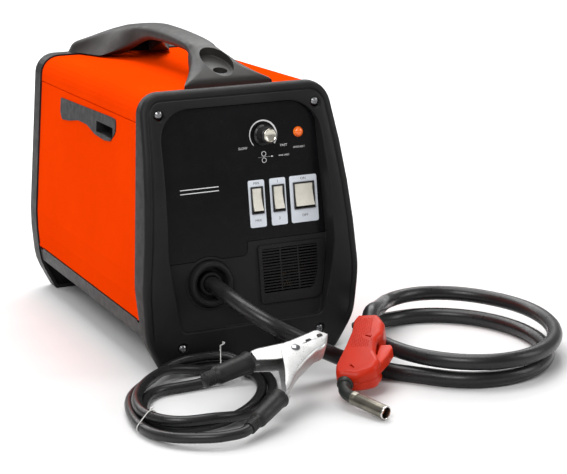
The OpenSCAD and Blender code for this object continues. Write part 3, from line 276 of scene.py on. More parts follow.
def lofted(rings: Sequence[Sequence[Vector]], caps: bool = True, looped: bool = False) -> Shape:
    """Skins a row of closed rings.

    Args:
        rings: rings with the same number of points each.
        caps: whether the first and last rings are filled.
        looped: whether the last ring joins the first.

    Returns:
        The skin.
    """
    count, shape = len(rings[0]), Shape([p.copy() for ring in rings for p in ring])
    for i in range(len(rings) if looped else len(rings) - 1):
        here, there = i * count, (i + 1) % len(rings) * count
        for j in range(count):
            k = (j + 1) % count
            shape.faces.append((here + j, here + k, there + k, there + j))
    if caps and not looped:
        shape.faces.append(tuple(reversed(range(count))))
        shape.faces.append(tuple((len(rings) - 1) * count + j for j in range(count)))
    return shape


def turned(
    profile: Profile, steps: int = 64, ripple: Callable[[float, float, float], float] | None = None
) -> Shape:
    """A closed profile turned about the local Z axis.

    Args:
        profile: (radius, height) points.
        steps: steps round the axis.
        ripple: what is added to a radius, from its angle, radius and height.

    Returns:
        The turned shape.
    """
    rings = []
    for i in range(steps):
        angle = 2 * math.pi * i / steps
        ring = []
        for radius, height in profile:
            size = radius + ripple(angle, radius, height) if ripple else radius
            ring.append(Vector((size * math.cos(angle), size * math.sin(angle), height)))
        rings.append(ring)
    return lofted(rings, looped=True)


def rod(radius: float, low: float, high: float, steps: int) -> Shape:
    """A plain round bar on the local Z axis."""
    return turned([(AXIS, low), (radius, low), (radius, high), (AXIS, high)], steps)


def slab(
    corners: Sequence[Corner], low: float, high: float, edge: float = 0.4, arc: int = 6,
    steps: int = 2
) -> Shape:
    """A flat plate of an outline in local XY, with softened edges.

    Args:
        corners: (x, y, radius) of each corner, counter-clockwise.
        low: local Z of its lower face.
        high: local Z of its upper face.
        edge: radius of its edges.
        arc: steps in each corner.
        steps: steps in each softened edge.

    Returns:
        The plate.
    """
    rings = []
    for k in range(2 * steps + 2):
        below = k <= steps
        angle = math.pi / 2 * (k if below else 2 * steps + 1 - k) / steps
        flat = rounded(inset(corners, edge * (1 - math.sin(angle))), arc, 2)
        drop = edge * (1 - math.cos(angle))
        rings.append([Vector((p.x, p.y, low + drop if below else high - drop)) for p in flat])
    return lofted(rings)


def swept(outline: Sequence[Vector], profile: Profile) -> Shape:
    """Carries a closed (outwards, height) profile round a closed flat outline.

    Args:
        outline: flat points in order, counter-clockwise.
        profile: distance outwards from the outline, and height.

    Returns:
        The closed band.
    """
    rings = []
    for i, p in enumerate(outline):
        way = (outline[(i + 1) % len(outline)] - outline[i - 1]).normalized()
        rings.append([Vector((p.x + way.y * out, p.y - way.x * out, up)) for out, up in profile])
    return lofted(rings, looped=True)


def wound(low: float, high: float, turns: int, depth: float) -> list[Pair]:
    """A winding's profile: a row of half-round turns outside, flat inside.

    Args:
        low: height of its lower side.
        high: height of its upper side.
        turns: how many turns lie side by side.
        depth: how deep the winding is.

    Returns:
        The (outwards, height) points.
    """
    pitch, points = (high - low) / turns, [(-depth, low)]
    bulge, reach, steps = 0.42, 0.48, 6
    for i in range(turns):
        for k in range(steps + 1):
            angle = math.pi * k / steps
            out = pitch * bulge * (math.sin(angle) - 1)
            points.append((out, low + pitch * (i + 0.5 - reach * math.cos(angle))))
    return points + [(-depth, high)]


def along(table: Profile, place: float) -> float:
    """The value at a place on a smooth line.

    Args:
        table: the (place, value) points that the line passes through.
        place: where on the line.

    Returns:
        The value there.
    """
    line = softened([(p[0], p[1]) for p in table], 6)
    for a, b in zip(line, line[1:]):
        if place <= b.x:
            return mix(a.y, b.y, max(0.0, (place - a.x) / max(1e-6, b.x - a.x)))
    return line[-1].y


def in_metres(matrix: Matrix) -> Matrix:
    """A matrix in millimetres as one in metres.

    Args:
        matrix: the matrix in millimetres.

    Returns:
        A copy with its place in metres.
    """
    made = matrix.copy()
    made.translation = made.translation * MM
    return made


def turned_to(degrees: Place) -> Matrix:
    """A rotation by the angles about X, Y and Z in that order."""
    return Euler([math.radians(a) for a in degrees]).to_matrix().to_4x4()


def piped(
    path: Sequence[Vector], radius: float | Callable[[float], float], steps: int = 12
) -> Shape:
    """A round tube along a path.

    Args:
        path: its centreline.
        radius: its radius, or a function from the share of its length to the radius.
        steps: points round each ring.

    Returns:
        The closed tube.
    """
    rings, side = [], None
    for i, place in enumerate(path):
        heading = (path[min(i + 1, len(path) - 1)] - path[max(i - 1, 0)]).normalized()
        if side is None:
            side = heading.orthogonal().normalized()
        side = (side - heading * side.dot(heading)).normalized()
        up = heading.cross(side)
        size = radius(i / (len(path) - 1)) if callable(radius) else radius
        ring = []
        for j in range(steps):
            angle = 2 * math.pi * j / steps
            ring.append(place + size * (side * math.cos(angle) + up * math.sin(angle)))
        rings.append(ring)
    return lofted(rings)


def mesh_of(shape: Shape, name: str) -> bpy.types.Mesh:
    """A mesh in metres with its faces looking outwards.

    Args:
        shape: the shape in millimetres.
        name: the mesh's name.

    Returns:
        The mesh.
    """
    mesh = bpy.data.meshes.new(name)
    mesh.from_pydata([p * MM for p in shape.points], [], shape.faces)
    work = bmesh.new()
    work.from_mesh(mesh)
    bmesh.ops.remove_doubles(work, verts=work.verts, dist=1e-6)
    bmesh.ops.recalc_face_normals(work, faces=work.faces)
    work.to_mesh(mesh)
    work.free()
    return mesh


def shaded(mesh: bpy.types.Mesh, degrees: float = 35) -> None:
    """Smooth shading with sharp edges over that angle."""
    mesh.shade_smooth()
    mesh.set_sharp_from_angle(angle=math.radians(degrees))


def linked(thing: Object) -> None:
    """Puts an object into the scene."""
    bpy.context.scene.collection.objects.link(thing)


def object_of(shape: Shape, name: str, degrees: float = 35) -> Object:
    """A linked object made from a shape.

    Args:
        shape: the shape in millimetres.
        name: the object's name.
        degrees: edges over this angle stay sharp.

    Returns:
        The object.
    """
    mesh = mesh_of(shape, name)
    shaded(mesh, degrees)
    thing = bpy.data.objects.new(name, mesh)
    linked(thing)
    return thing


def settled(thing: Object, degrees: float = 35) -> Object:
    """Applies a piece's modifiers to its mesh.

    Args:
        thing: the piece.
        degrees: edges over this angle stay sharp.

    Returns:
        The same piece.
    """
    ready = thing.evaluated_get(bpy.context.evaluated_depsgraph_get())
    mesh = bpy.data.meshes.new_from_object(ready)
    thing.modifiers.clear()
    thing.data = mesh
    shaded(mesh, degrees)
    return thing


def carved(thing: Object, cutters: Iterable[Shape], degrees: float = 35) -> Object:
    """Cuts shapes out of a piece, one by one.

    Args:
        thing: the piece.
        cutters: the shapes.
        degrees: edges over this angle stay sharp.

    Returns:
        The same piece.
    """
    for i, shape in enumerate(cutters):
        cutter = object_of(shape, f"{thing.name}.cutter{i}")
        step = thing.modifiers.new("cut", "BOOLEAN")
        step.operation, step.object, step.solver = "DIFFERENCE", cutter, "EXACT"
        settled(thing, degrees)
        bpy.data.objects.remove(cutter)
    return thing


def softened_edges(thing: Object, width: float, segments: int = 2, degrees: float = 38) -> None:
    """Adds a bevel, with normals weighted by face area.

    Args:
        thing: the piece.
        width: the bevel's width in millimetres.
        segments: steps in the bevel.
        degrees: edges over this angle are bevelled.
    """
    bevel = thing.modifiers.new("edge", "BEVEL")
    bevel.width, bevel.segments = width * MM, segments
    bevel.limit_method, bevel.angle_limit = "ANGLE", math.radians(degrees)
    bevel.miter_outer = "MITER_ARC"
    weigh = thing.modifiers.new("shade", "WEIGHTED_NORMAL")
    weigh.keep_sharp, weigh.weight = True, 50


# -------------------- finishes


class Texture(Enum):
    """The kind of fine surface that a finish has."""

    MOULDED = "moulded"
    GLOSS = "gloss"
    BRUSHED = "brushed"
    CAST = "cast"
    RUBBER = "rubber"
    LAMINATED = "laminated"


class NodeBench:
    """Builds the shader node groups that the finishes share, once each."""

    @staticmethod
    def group(
        name: str, inputs: dict[str, float], outputs: Sequence[str]
    ) -> tuple[Tree, Node, Node]:
        """An empty group with a vector input, value inputs and value outputs.

        Args:
            name: the group's name.
            inputs: name and default of each value input.
            outputs: name of each value output.

        Returns:
            The tree, its input node and its output node.
        """
        tree = bpy.data.node_groups.new(name, "ShaderNodeTree")
        tree.interface.new_socket("Vector", in_out="INPUT", socket_type="NodeSocketVector")
        for label, value in inputs.items():
            socket = tree.interface.new_socket(label, in_out="INPUT", socket_type="NodeSocketFloat")
            socket.default_value = value
        for label in outputs:
            tree.interface.new_socket(label, in_out="OUTPUT", socket_type="NodeSocketFloat")
        return tree, tree.nodes.new("NodeGroupInput"), tree.nodes.new("NodeGroupOutput")

    @staticmethod
    def noise(tree: Tree, given: Node, vector: Socket, factor: float, detail: float) -> Socket:
        """A noise texture whose scale is the group's Scale times a factor.

        Args:
            tree: the group.
            given: the group's input node.
            vector: the socket that gives the place.
            factor: what the scale is multiplied by.
            detail: the noise's detail.

        Returns:
            The noise's value.
        """
        times = tree.nodes.new("ShaderNodeMath")
        times.operation = "MULTIPLY"
        times.inputs[1].default_value = factor
        tree.links.new(given.outputs["Scale"], times.inputs[0])
        made = tree.nodes.new("ShaderNodeTexNoise")
        made.inputs["Detail"].default_value = detail
        tree.links.new(vector, made.inputs["Vector"])
        tree.links.new(times.outputs[0], made.inputs["Scale"])
        return made.outputs["Fac"]

    @staticmethod
    def maths(tree: Tree, operation: str, first: Socket | float, second: Socket | float) -> Socket:
        """A maths node on two sockets or numbers.

        Args:
            tree: the group.
            operation: the node's operation.
            first: its first value.
            second: its second value.

        Returns:
            The result.
        """
        made = tree.nodes.new("ShaderNodeMath")
        made.operation = operation
        for i, value in enumerate((first, second)):
            if isinstance(value, (int, float)):
                made.inputs[i].default_value = value
            else:
                tree.links.new(value, made.inputs[i])
        return made.outputs[0]

    @cache
    def drift(self) -> Tree:
        """Slow and quick change over the surface, for colour and roughness.

        Returns:
            The group.
        """
        tree, given, out = self.group("drift", {"Scale": 12.0}, ["Slow", "Quick"])
        slow = self.noise(tree, given, given.outputs["Vector"], 1.0, 4.0)
        quick = self.noise(tree, given, given.outputs["Vector"], 9.0, 6.0)
        for source, label in ((slow, "Slow"), (quick, "Quick")):
            spread = tree.nodes.new("ShaderNodeMapRange")
            spread.inputs["From Min"].default_value = 0.32
            spread.inputs["From Max"].default_value = 0.68
            tree.links.new(source, spread.inputs["Value"])
            tree.links.new(spread.outputs["Result"], out.inputs[label])
        return tree

    @cache
    def grain(self) -> Tree:
        """The fine pebbling of a moulded or sprayed surface.

        Returns:
            The group.
        """
        tree, given, out = self.group("grain", {"Scale": 900.0}, ["Height"])
        cells = tree.nodes.new("ShaderNodeTexVoronoi")
        cells.feature = "SMOOTH_F1"
        tree.links.new(given.outputs["Vector"], cells.inputs["Vector"])
        tree.links.new(given.outputs["Scale"], cells.inputs["Scale"])
        fine = self.noise(tree, given, given.outputs["Vector"], 2.3, 2.0)
        halved = self.maths(tree, "MULTIPLY", fine, 0.5)
        height = self.maths(tree, "ADD", cells.outputs["Distance"], halved)
        tree.links.new(height, out.inputs["Height"])
        return tree

    @cache
    def streaks(self) -> Tree:
        """Fine lines drawn along one axis, as rolling and polishing leave.

        Returns:
            The group.
        """
        tree, given, out = self.group("streaks", {"Scale": 60.0, "Stretch": 14.0}, ["Height"])
        apart = tree.nodes.new("ShaderNodeSeparateXYZ")
        tree.links.new(given.outputs["Vector"], apart.inputs[0])
        joined = tree.nodes.new("ShaderNodeCombineXYZ")
        tree.links.new(apart.outputs[0], joined.inputs[0])
        for i in (1, 2):
            wide = self.maths(tree, "MULTIPLY", apart.outputs[i], given.outputs["Stretch"])
            tree.links.new(wide, joined.inputs[i])
        lines = self.noise(tree, given, joined.outputs[0], 1.0, 5.0)
        tree.links.new(lines, out.inputs["Height"])
        return tree

    @cache
    def bands(self) -> Tree:
        """Even ridges along one axis, as wound wire or stacked sheets show.

        Returns:
            The group.
        """
        tree, given, out = self.group("bands", {"Pitch": 0.002}, ["Height"])
        apart = tree.nodes.new("ShaderNodeSeparateXYZ")
        tree.links.new(given.outputs["Vector"], apart.inputs[0])
        phase = self.maths(tree, "DIVIDE", apart.outputs[2], given.outputs["Pitch"])
        wave = self.maths(tree, "SINE", self.maths(tree, "MULTIPLY", phase, 2 * math.pi), 0.0)
        tree.links.new(self.maths(tree, "ABSOLUTE", wave, 0.0), out.inputs["Height"])
        return tree

    @cache
    def dust(self) -> Tree:
        """Where dust lies: on faces that look up, in patches.

        Returns:
            The group.
        """
        tree, given, out = self.group("dust", {"Amount": 0.2}, ["Mask"])
        surface = tree.nodes.new("ShaderNodeNewGeometry")
        apart = tree.nodes.new("ShaderNodeSeparateXYZ")
        tree.links.new(surface.outputs["Normal"], apart.inputs[0])
        up = self.maths(tree, "MAXIMUM", apart.outputs[2], 0.0)
        patch = tree.nodes.new("ShaderNodeTexNoise")
        patch.inputs["Scale"].default_value = 45.0
        patch.inputs["Detail"].default_value = 7.0
        tree.links.new(given.outputs["Vector"], patch.inputs["Vector"])
        patches = self.maths(tree, "MULTIPLY", up, patch.outputs["Fac"])
        mask = self.maths(tree, "MULTIPLY", patches, given.outputs["Amount"])
        tree.links.new(mask, out.inputs["Mask"])
        return tree


BENCH = NodeBench()
DUST_GREY = (0.55, 0.53, 0.5)


@dataclass(frozen=True)
class Finish:
    """One material: its colours, gloss and fine surface."""

    name: str
    colour: Colour
    shade: Colour
    rough: Pair
    texture: Texture = Texture.MOULDED
    drift: float = 12.0
    grain: float = 900.0
    depth: float = 0.02
    metal: float = 0.0
    coat: float = 0.0
    coat_rough: float = 0.05
    dusty: float = 0.0
    pitch: float = 2.0
    # Strength of a painted glow: emission in the finish's own colour that stands in for light
    # passing through a lens that is not lit.
    painted_glow: float = 0.0
    specular: float = 0.5

    def material(self) -> bpy.types.Material:
        """The material, built once.

        Returns:
            The material.
        """
        if self.name in bpy.data.materials:
            return bpy.data.materials[self.name]
        made = bpy.data.materials.new(self.name)
        made.use_nodes = True
        tree = made.node_tree
        shader = tree.nodes["Principled BSDF"]
        shader.inputs["Metallic"].default_value = self.metal
        shader.inputs["Specular IOR Level"].default_value = self.specular
        shader.inputs["Coat Weight"].default_value = self.coat
        shader.inputs["Coat Roughness"].default_value = self.coat_rough
        place = tree.nodes.new("ShaderNodeTexCoord").outputs["Object"]
        drift = self.placed(tree, BENCH.drift(), place, {"Scale": self.drift})
        colour = tree.nodes.new("ShaderNodeMix")
        colour.data_type = "RGBA"
        colour.inputs["A"].default_value = (*self.colour, 1)
        colour.inputs["B"].default_value = (*self.shade, 1)
        tree.links.new(drift.outputs["Slow"], colour.inputs["Factor"])
        result = colour.outputs["Result"]
        if self.dusty:
            dust = self.placed(tree, BENCH.dust(), place, {"Amount": self.dusty})
            over = tree.nodes.new("ShaderNodeMix")
            over.data_type = "RGBA"
            over.inputs["B"].default_value = (*DUST_GREY, 1)
            tree.links.new(result, over.inputs["A"])
            tree.links.new(dust.outputs["Mask"], over.inputs["Factor"])
            result = over.outputs["Result"]
        tree.links.new(result, shader.inputs["Base Color"])
        rough = tree.nodes.new("ShaderNodeMapRange")
        rough.inputs["To Min"].default_value, rough.inputs["To Max"].default_value = self.rough
        tree.links.new(drift.outputs["Quick"], rough.inputs["Value"])
        tree.links.new(rough.outputs["Result"], shader.inputs["Roughness"])
        # The emission is painted light: a glow in the base colour, not a lit lamp.
        if self.painted_glow:
            shader.inputs["Emission Strength"].default_value = self.painted_glow
            tree.links.new(result, shader.inputs["Emission Color"])
        bump = tree.nodes.new("ShaderNodeBump")
        bump.inputs["Distance"].default_value = self.depth * MM
        bump.inputs["Strength"].default_value = 1.0
        tree.links.new(self.height(tree, place), bump.inputs["Height"])
        tree.links.new(bump.outputs["Normal"], shader.inputs["Normal"])
        return made

    @staticmethod
    def placed(tree: Tree, group: Tree, place: Socket, values: dict[str, float]) -> Node:
        """A group set into the material with its own values.

        Args:
            tree: the material's nodes.
            group: the shared group.
            place: the socket that gives the place on the surface.
            values: the group's values.

        Returns:
            The group's node.
        """
        node = tree.nodes.new("ShaderNodeGroup")
        node.node_tree = group
        tree.links.new(place, node.inputs["Vector"])
        for label, value in values.items():
            node.inputs[label].default_value = value
        return node

    def height(self, tree: Tree, place: Socket) -> Socket:
        """The fine surface's height.

        Args:
            tree: the material's nodes.
            place: the socket that gives the place on the surface.

        Returns:
            The socket with the height.
        """
        if self.texture is Texture.BRUSHED:
            group, values = BENCH.streaks(), {"Scale": self.grain / 10}
        elif self.texture is Texture.LAMINATED:
            group, values = BENCH.bands(), {"Pitch": self.pitch * MM}
        else:
            group, values = BENCH.grain(), {"Scale": self.grain}
        return self.placed(tree, group, place, values).outputs["Height"]


BLACK_MOULDING = Finish(
    "black-moulding", (0.010, 0.010, 0.0105), (0.017, 0.0165, 0.0165), (0.4, 0.52), depth=0.02,
    grain=1300, specular=0.16,
)
HANDLE_MOULDING = Finish(
    "handle-moulding", (0.022, 0.0205, 0.0195), (0.034, 0.032, 0.030), (0.36, 0.46), depth=0.02,
    grain=1300, specular=0.22,
)
FASCIA_FILM = Finish(
    "fascia-film", (0.0035, 0.0035, 0.004), (0.006, 0.006, 0.007), (0.2, 0.28), Texture.GLOSS,
    depth=0.002, grain=500, specular=0.2,
)
ORANGE_PAINT = Finish(
    "orange-paint", (0.90, 0.052, 0.001), (0.83, 0.044, 0.001), (0.34, 0.44), Texture.GLOSS,
    depth=0.002, grain=260, specular=0.0, drift=5,
)
CHASSIS_PAINT = Finish(
    "chassis-paint", (0.014, 0.014, 0.015), (0.024, 0.023, 0.022), (0.4, 0.55), Texture.CAST,
    depth=0.02, grain=700, dusty=0.08, specular=0.25,
)
GRIP_RUBBER = Finish(
    "grip-rubber", (0.008, 0.008, 0.009), (0.016, 0.016, 0.016), (0.42, 0.58), Texture.RUBBER,
    depth=0.03, grain=1100, specular=0.28,
)
LEAD_RUBBER = Finish(
    "lead-rubber", (0.006, 0.006, 0.007), (0.013, 0.013, 0.014), (0.26, 0.38), Texture.RUBBER,
    depth=0.012, grain=1300, dusty=0.03, drift=20, specular=0.4,
)
SLEEVE_RUBBER = Finish(
    "sleeve-rubber", (0.007, 0.007, 0.007), (0.014, 0.013, 0.013), (0.36, 0.5), Texture.RUBBER,
    depth=0.03, grain=900, dusty=0.04, drift=25, specular=0.3,
)
KNOB_PLASTIC = Finish(
    "knob-plastic", (0.008, 0.008, 0.009), (0.016, 0.016, 0.017), (0.25, 0.36), depth=0.01
)
KNOB_CAP = Finish(
    "knob-cap", (0.78, 0.75, 0.66), (0.66, 0.63, 0.55), (0.16, 0.26), Texture.BRUSHED, depth=0.004,
    metal=1.0,
)
SCREW_STEEL = Finish(
    "screw-steel", (0.34, 0.34, 0.35), (0.22, 0.22, 0.23), (0.18, 0.3), Texture.BRUSHED,
    depth=0.006, metal=1.0,
)
POT_METAL = Finish(
    "pot-metal", (0.4, 0.4, 0.42), (0.3, 0.3, 0.31), (0.3, 0.4), Texture.BRUSHED, depth=0.006,
    metal=1.0,
)
# The overheat lamp is unlit; its emission is a painted glow standing in for light passing through
# the amber lens.
LAMP_AMBER = Finish(
    "lamp-amber", (0.86, 0.17, 0.01), (0.62, 0.08, 0.005), (0.1, 0.16), Texture.GLOSS, depth=0.02,
    grain=380, coat=0.8, painted_glow=0.35, drift=160,
)
PLATE_WHITE = Finish(
    "plate-white", (0.80, 0.84, 0.90), (0.74, 0.79, 0.86), (0.28, 0.36), Texture.GLOSS, depth=0.002,
    coat=0.2,
)
ROCKER_IVORY = Finish(
    "rocker-ivory", (0.80, 0.77, 0.68), (0.72, 0.69, 0.6), (0.22, 0.3), depth=0.008, coat=0.2,
    drift=90,
)
PRINT_WHITE = Finish("print-white", (0.82, 0.82, 0.82), (0.7, 0.7, 0.7), (0.4, 0.5), depth=0.001)
PRINT_BLACK = Finish("print-black", (0.02, 0.02, 0.02), (0.03, 0.03, 0.03), (0.4, 0.5), depth=0.001)
ZINC_SHEET = Finish(
    "zinc-sheet", (0.56, 0.57, 0.58), (0.42, 0.43, 0.45), (0.3, 0.45), Texture.CAST, depth=0.006,
    grain=120, metal=1.0, drift=60,
)
CORE_STEEL = Finish(
    "core-steel", (0.2, 0.19, 0.18), (0.3, 0.28, 0.26), (0.4, 0.55), Texture.LAMINATED, depth=0.12,
    metal=0.9, pitch=1.0,
)
COPPER_WINDING = Finish(
    "copper-winding", (0.5, 0.16, 0.05), (0.36, 0.1, 0.03), (0.22, 0.34), Texture.BRUSHED,
    depth=0.01, metal=0.85, coat=0.4, drift=40,
)
AMBER_WINDING = Finish(
    "amber-winding", (0.62, 0.35, 0.09), (0.5, 0.25, 0.06), (0.25, 0.38), Texture.BRUSHED,
    depth=0.01, metal=0.6, coat=0.5, drift=40,
)
ALLOY = Finish(
    "alloy", (0.6, 0.61, 0.62), (0.48, 0.49, 0.5), (0.3, 0.42), Texture.CAST, depth=0.02, metal=1.0,
    drift=40,
)
BOARD_GREEN = Finish(
    "board-green", (0.012, 0.09, 0.03), (0.02, 0.14, 0.05), (0.3, 0.42), Texture.GLOSS, depth=0.03,
    grain=200, coat=0.4, drift=200,
)
BRASS = Finish(
    "brass", (0.66, 0.44, 0.16), (0.52, 0.33, 0.11), (0.26, 0.38), Texture.BRUSHED, depth=0.006,
    metal=1.0, drift=50,
)
MOTOR_GREY = Finish(
    "motor-grey", (0.12, 0.125, 0.135), (0.17, 0.175, 0.185), (0.35, 0.5), Texture.CAST, depth=0.03,
    metal=0.5, drift=40,
)
FAN_PLASTIC = Finish(
    "fan-plastic", (0.02, 0.02, 0.022), (0.035, 0.035, 0.037), (0.35, 0.5), depth=0.02
)
ROLL_STEEL = Finish(
    "roll-steel", (0.5, 0.5, 0.52), (0.38, 0.38, 0.4), (0.16, 0.28), Texture.BRUSHED, depth=0.006,
    metal=1.0,
)
ARM_BLACK = Finish(
    "arm-black", (0.03, 0.03, 0.032), (0.05, 0.05, 0.052), (0.35, 0.5), Texture.CAST, depth=0.03
)
TENSION_RED = Finish("tension-red", (0.42, 0.02, 0.01), (0.32, 0.015, 0.01), (0.3, 0.4), depth=0.02)
SPOOL_PLASTIC = Finish(
    "spool-plastic", (0.02, 0.02, 0.022), (0.034, 0.034, 0.036), (0.32, 0.45), depth=0.02
)
WIRE_COPPER = Finish(
    "wire-copper", (0.72, 0.33, 0.15), (0.58, 0.24, 0.1), (0.2, 0.32), Texture.BRUSHED, depth=0.004,
    metal=1.0, drift=60,
)
TORCH_RED = Finish(
    "torch-red", (0.60, 0.026, 0.003), (0.50, 0.018, 0.003), (0.3, 0.4), depth=0.005, grain=1400,
    drift=30, specular=0.22,
)
NECK_BLACK = Finish(
    "neck-black", (0.016, 0.018, 0.016), (0.03, 0.033, 0.029), (0.36, 0.5), Texture.RUBBER,
    depth=0.02, drift=60, specular=0.3,
)
NOZZLE_STEEL = Finish(
    "nozzle-steel", (0.31, 0.29, 0.24), (0.20, 0.187, 0.155), (0.28, 0.42), Texture.BRUSHED,
    depth=0.03, metal=1.0, drift=70,
)
# A lighter copy of the nozzle's steel for the nozzle's lip: a painted highlight along its edge.
NOZZLE_RIM_HIGHLIGHT = Finish(
    "nozzle-rim-highlight", (0.8, 0.77, 0.74), (0.7, 0.66, 0.62), (0.18, 0.28), Texture.BRUSHED, depth=0.004,
    metal=1.0,
)
TIP_COPPER = Finish(
    "tip-copper", (0.7, 0.3, 0.16), (0.5, 0.2, 0.1), (0.22, 0.34), Texture.BRUSHED, depth=0.004,
    metal=1.0,
)
TIE_WHITE = Finish("tie-white", (0.8, 0.8, 0.78), (0.7, 0.7, 0.68), (0.4, 0.5), depth=0.01)
CLAMP_STEEL = Finish(
    "clamp-steel", (0.62, 0.62, 0.615), (0.50, 0.50, 0.495), (0.26, 0.4), Texture.CAST, depth=0.003,
    grain=700, metal=0.7, drift=70,
)
SPRING_STEEL = Finish(
    "spring-steel", (0.3, 0.3, 0.31), (0.2, 0.2, 0.21), (0.28, 0.38), Texture.BRUSHED, depth=0.004,
    metal=1.0,
)
FLOOR_PAPER = Finish(
    "floor-paper", (0.80, 0.80, 0.80), (0.78, 0.78, 0.78), (0.6, 0.7), depth=0.01, grain=400,
    specular=0.1,
)


# -------------------- pieces on the frame


@dataclass
class Assembly:
    """What every sub-assembly needs: the frame's nodes and the body it rides on."""

    nodes: dict[str, Object]
    body: str = "machine"

    def piece(
        self,
        shape: Shape | Object,
        name: str,
        finish: Finish,
        slot: str,
        *nodes: str,
        body: str | None = None,
        degrees: float = 35,
        at: Matrix | None = None,
    ) -> Object:
        """Makes a named piece that rides on its body.

        Args:
            shape: a shape, or an object that is already made.
            name: the piece's name.
            finish: its finish.
            slot: the record's material slot; not used.
            nodes: the CAD nodes that it stands for.
            body: the body that it rides on, if not the assembly's own.
            degrees: edges over this angle stay sharp.
            at: the piece's own frame in millimetres, if its shape is drawn in one.

        Returns:
            The piece.
        """
        thing = shape if isinstance(shape, Object) else object_of(shape, name, degrees)
        if at is not None:
            thing.matrix_world = in_metres(at)
        thing.data.materials.clear()
        thing.data.materials.append(finish.material())
        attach(thing, body or self.body)
        if nodes:
            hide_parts(*nodes)
        LOG.info("made %s", name)
        return thing

    def dress(self, name: str, finish: Finish, edge: float = 0.3, degrees: float = 38) -> None:
        """Gives a carried-over CAD node its finish and softened edges.

        Args:
            name: the node.
            finish: its finish.
            edge: radius of its edges in millimetres.
            degrees: edges over this angle are softened.
        """
        node = self.nodes[name]
        node.data.materials.clear()
        node.data.materials.append(finish.material())
        weld = node.modifiers.new("weld", "WELD")
        weld.merge_threshold = 2e-6
        tidy = node.modifiers.new("tidy", "DECIMATE")
        tidy.decimate_type, tidy.angle_limit = "DISSOLVE", math.radians(0.8)
        softened_edges(node, edge, 2, degrees)
        LOG.info("dressed %s", name)


@dataclass(frozen=True)
class CaseForm:
    """The sizes that the end frames, casing and control panel share."""

    front_y: float = -211.0
    seat_depth: float = 18.0
    panel_depth: float = 7.6
    crown_radius: float = 430.0
    crown_height: float = 110.0
    lean: float = math.radians(6.6)
    outline: tuple[Corner, ...] = (
        (-104, 0, 4), (104, 0, 4), (122.5, 38.016, 60), (126, 92.961, 150),
        (107.5, 297, 24), (-107.5, 297, 24), (-126, 92.961, 150), (-122.5, 38.016, 60),
    )
    window: tuple[Corner, ...] = (
        (-82.5, 43, 8), (82.5, 43, 8), (89, 78, 30), (96.3, 125, 120),
        (90.5, 278, 34), (-90.5, 278, 34), (-96.3, 125, 120), (-89, 78, 30),
    )
    socket: Pair = (-44.0, 91.4)
    dial: Pair = (28.7, 243.4)
    lamp: Pair = (70.1, 243.3)
    gland: Pair = (38.0, 24.0)
    switches: Table = ((16.4, 11.4), (41.5, 11.4), (72.0, 22.0))
    switch_z: float = 174.3
    switch_height: float = 28.0

    def pu(self, z: float) -> float:
        """Height measured along the leaning panel."""
        return z / math.cos(self.lean)

    def seat(self, z: float) -> float:
        """Where the front frame's back plane is at a height."""
        return self.front_y + self.seat_depth + math.tan(self.lean) * z

    def crown(self, z: float) -> float:
        """Where the crowned front is at a height."""
        radius = self.crown_radius
        return self.front_y + radius - math.sqrt(radius * radius - (z - self.crown_height) ** 2)

    def on_panel(self) -> Matrix:
        """The panel's own frame: x, depth behind it, and height along it."""
        lean = Euler((-self.lean, 0, 0)).to_matrix().to_4x4()
        return Matrix.Translation((0, self.front_y + self.panel_depth, 0)) @ lean

    def out_of_panel(self, place: Pair) -> Matrix:
        """A frame whose Z axis stands out of the panel at (x, height)."""
        shift = Matrix.Translation((place[0], 0, self.pu(place[1])))
        return self.on_panel() @ shift @ turned_to((90, 0, 0))

    def out_of_crown(self, place: Pair) -> Matrix:
        """A frame whose Z axis stands out of the crowned front at (x, height)."""
        x, z = place
        return Matrix.Translation((x, self.crown(z), z)) @ turned_to((90, 0, 0))

    def window_corners(self) -> list[Corner]:
        """The recess outline on the panel."""
        return [(x, self.pu(z), r) for x, z, r in self.window]

    def facing(self) -> Matrix:
        """Turns a flat shape in local XY so that it lies on the panel, its Z axis outwards."""
        return self.on_panel() @ turned_to((90, 0, 0))


FORM = CaseForm()


# -------------------- studio


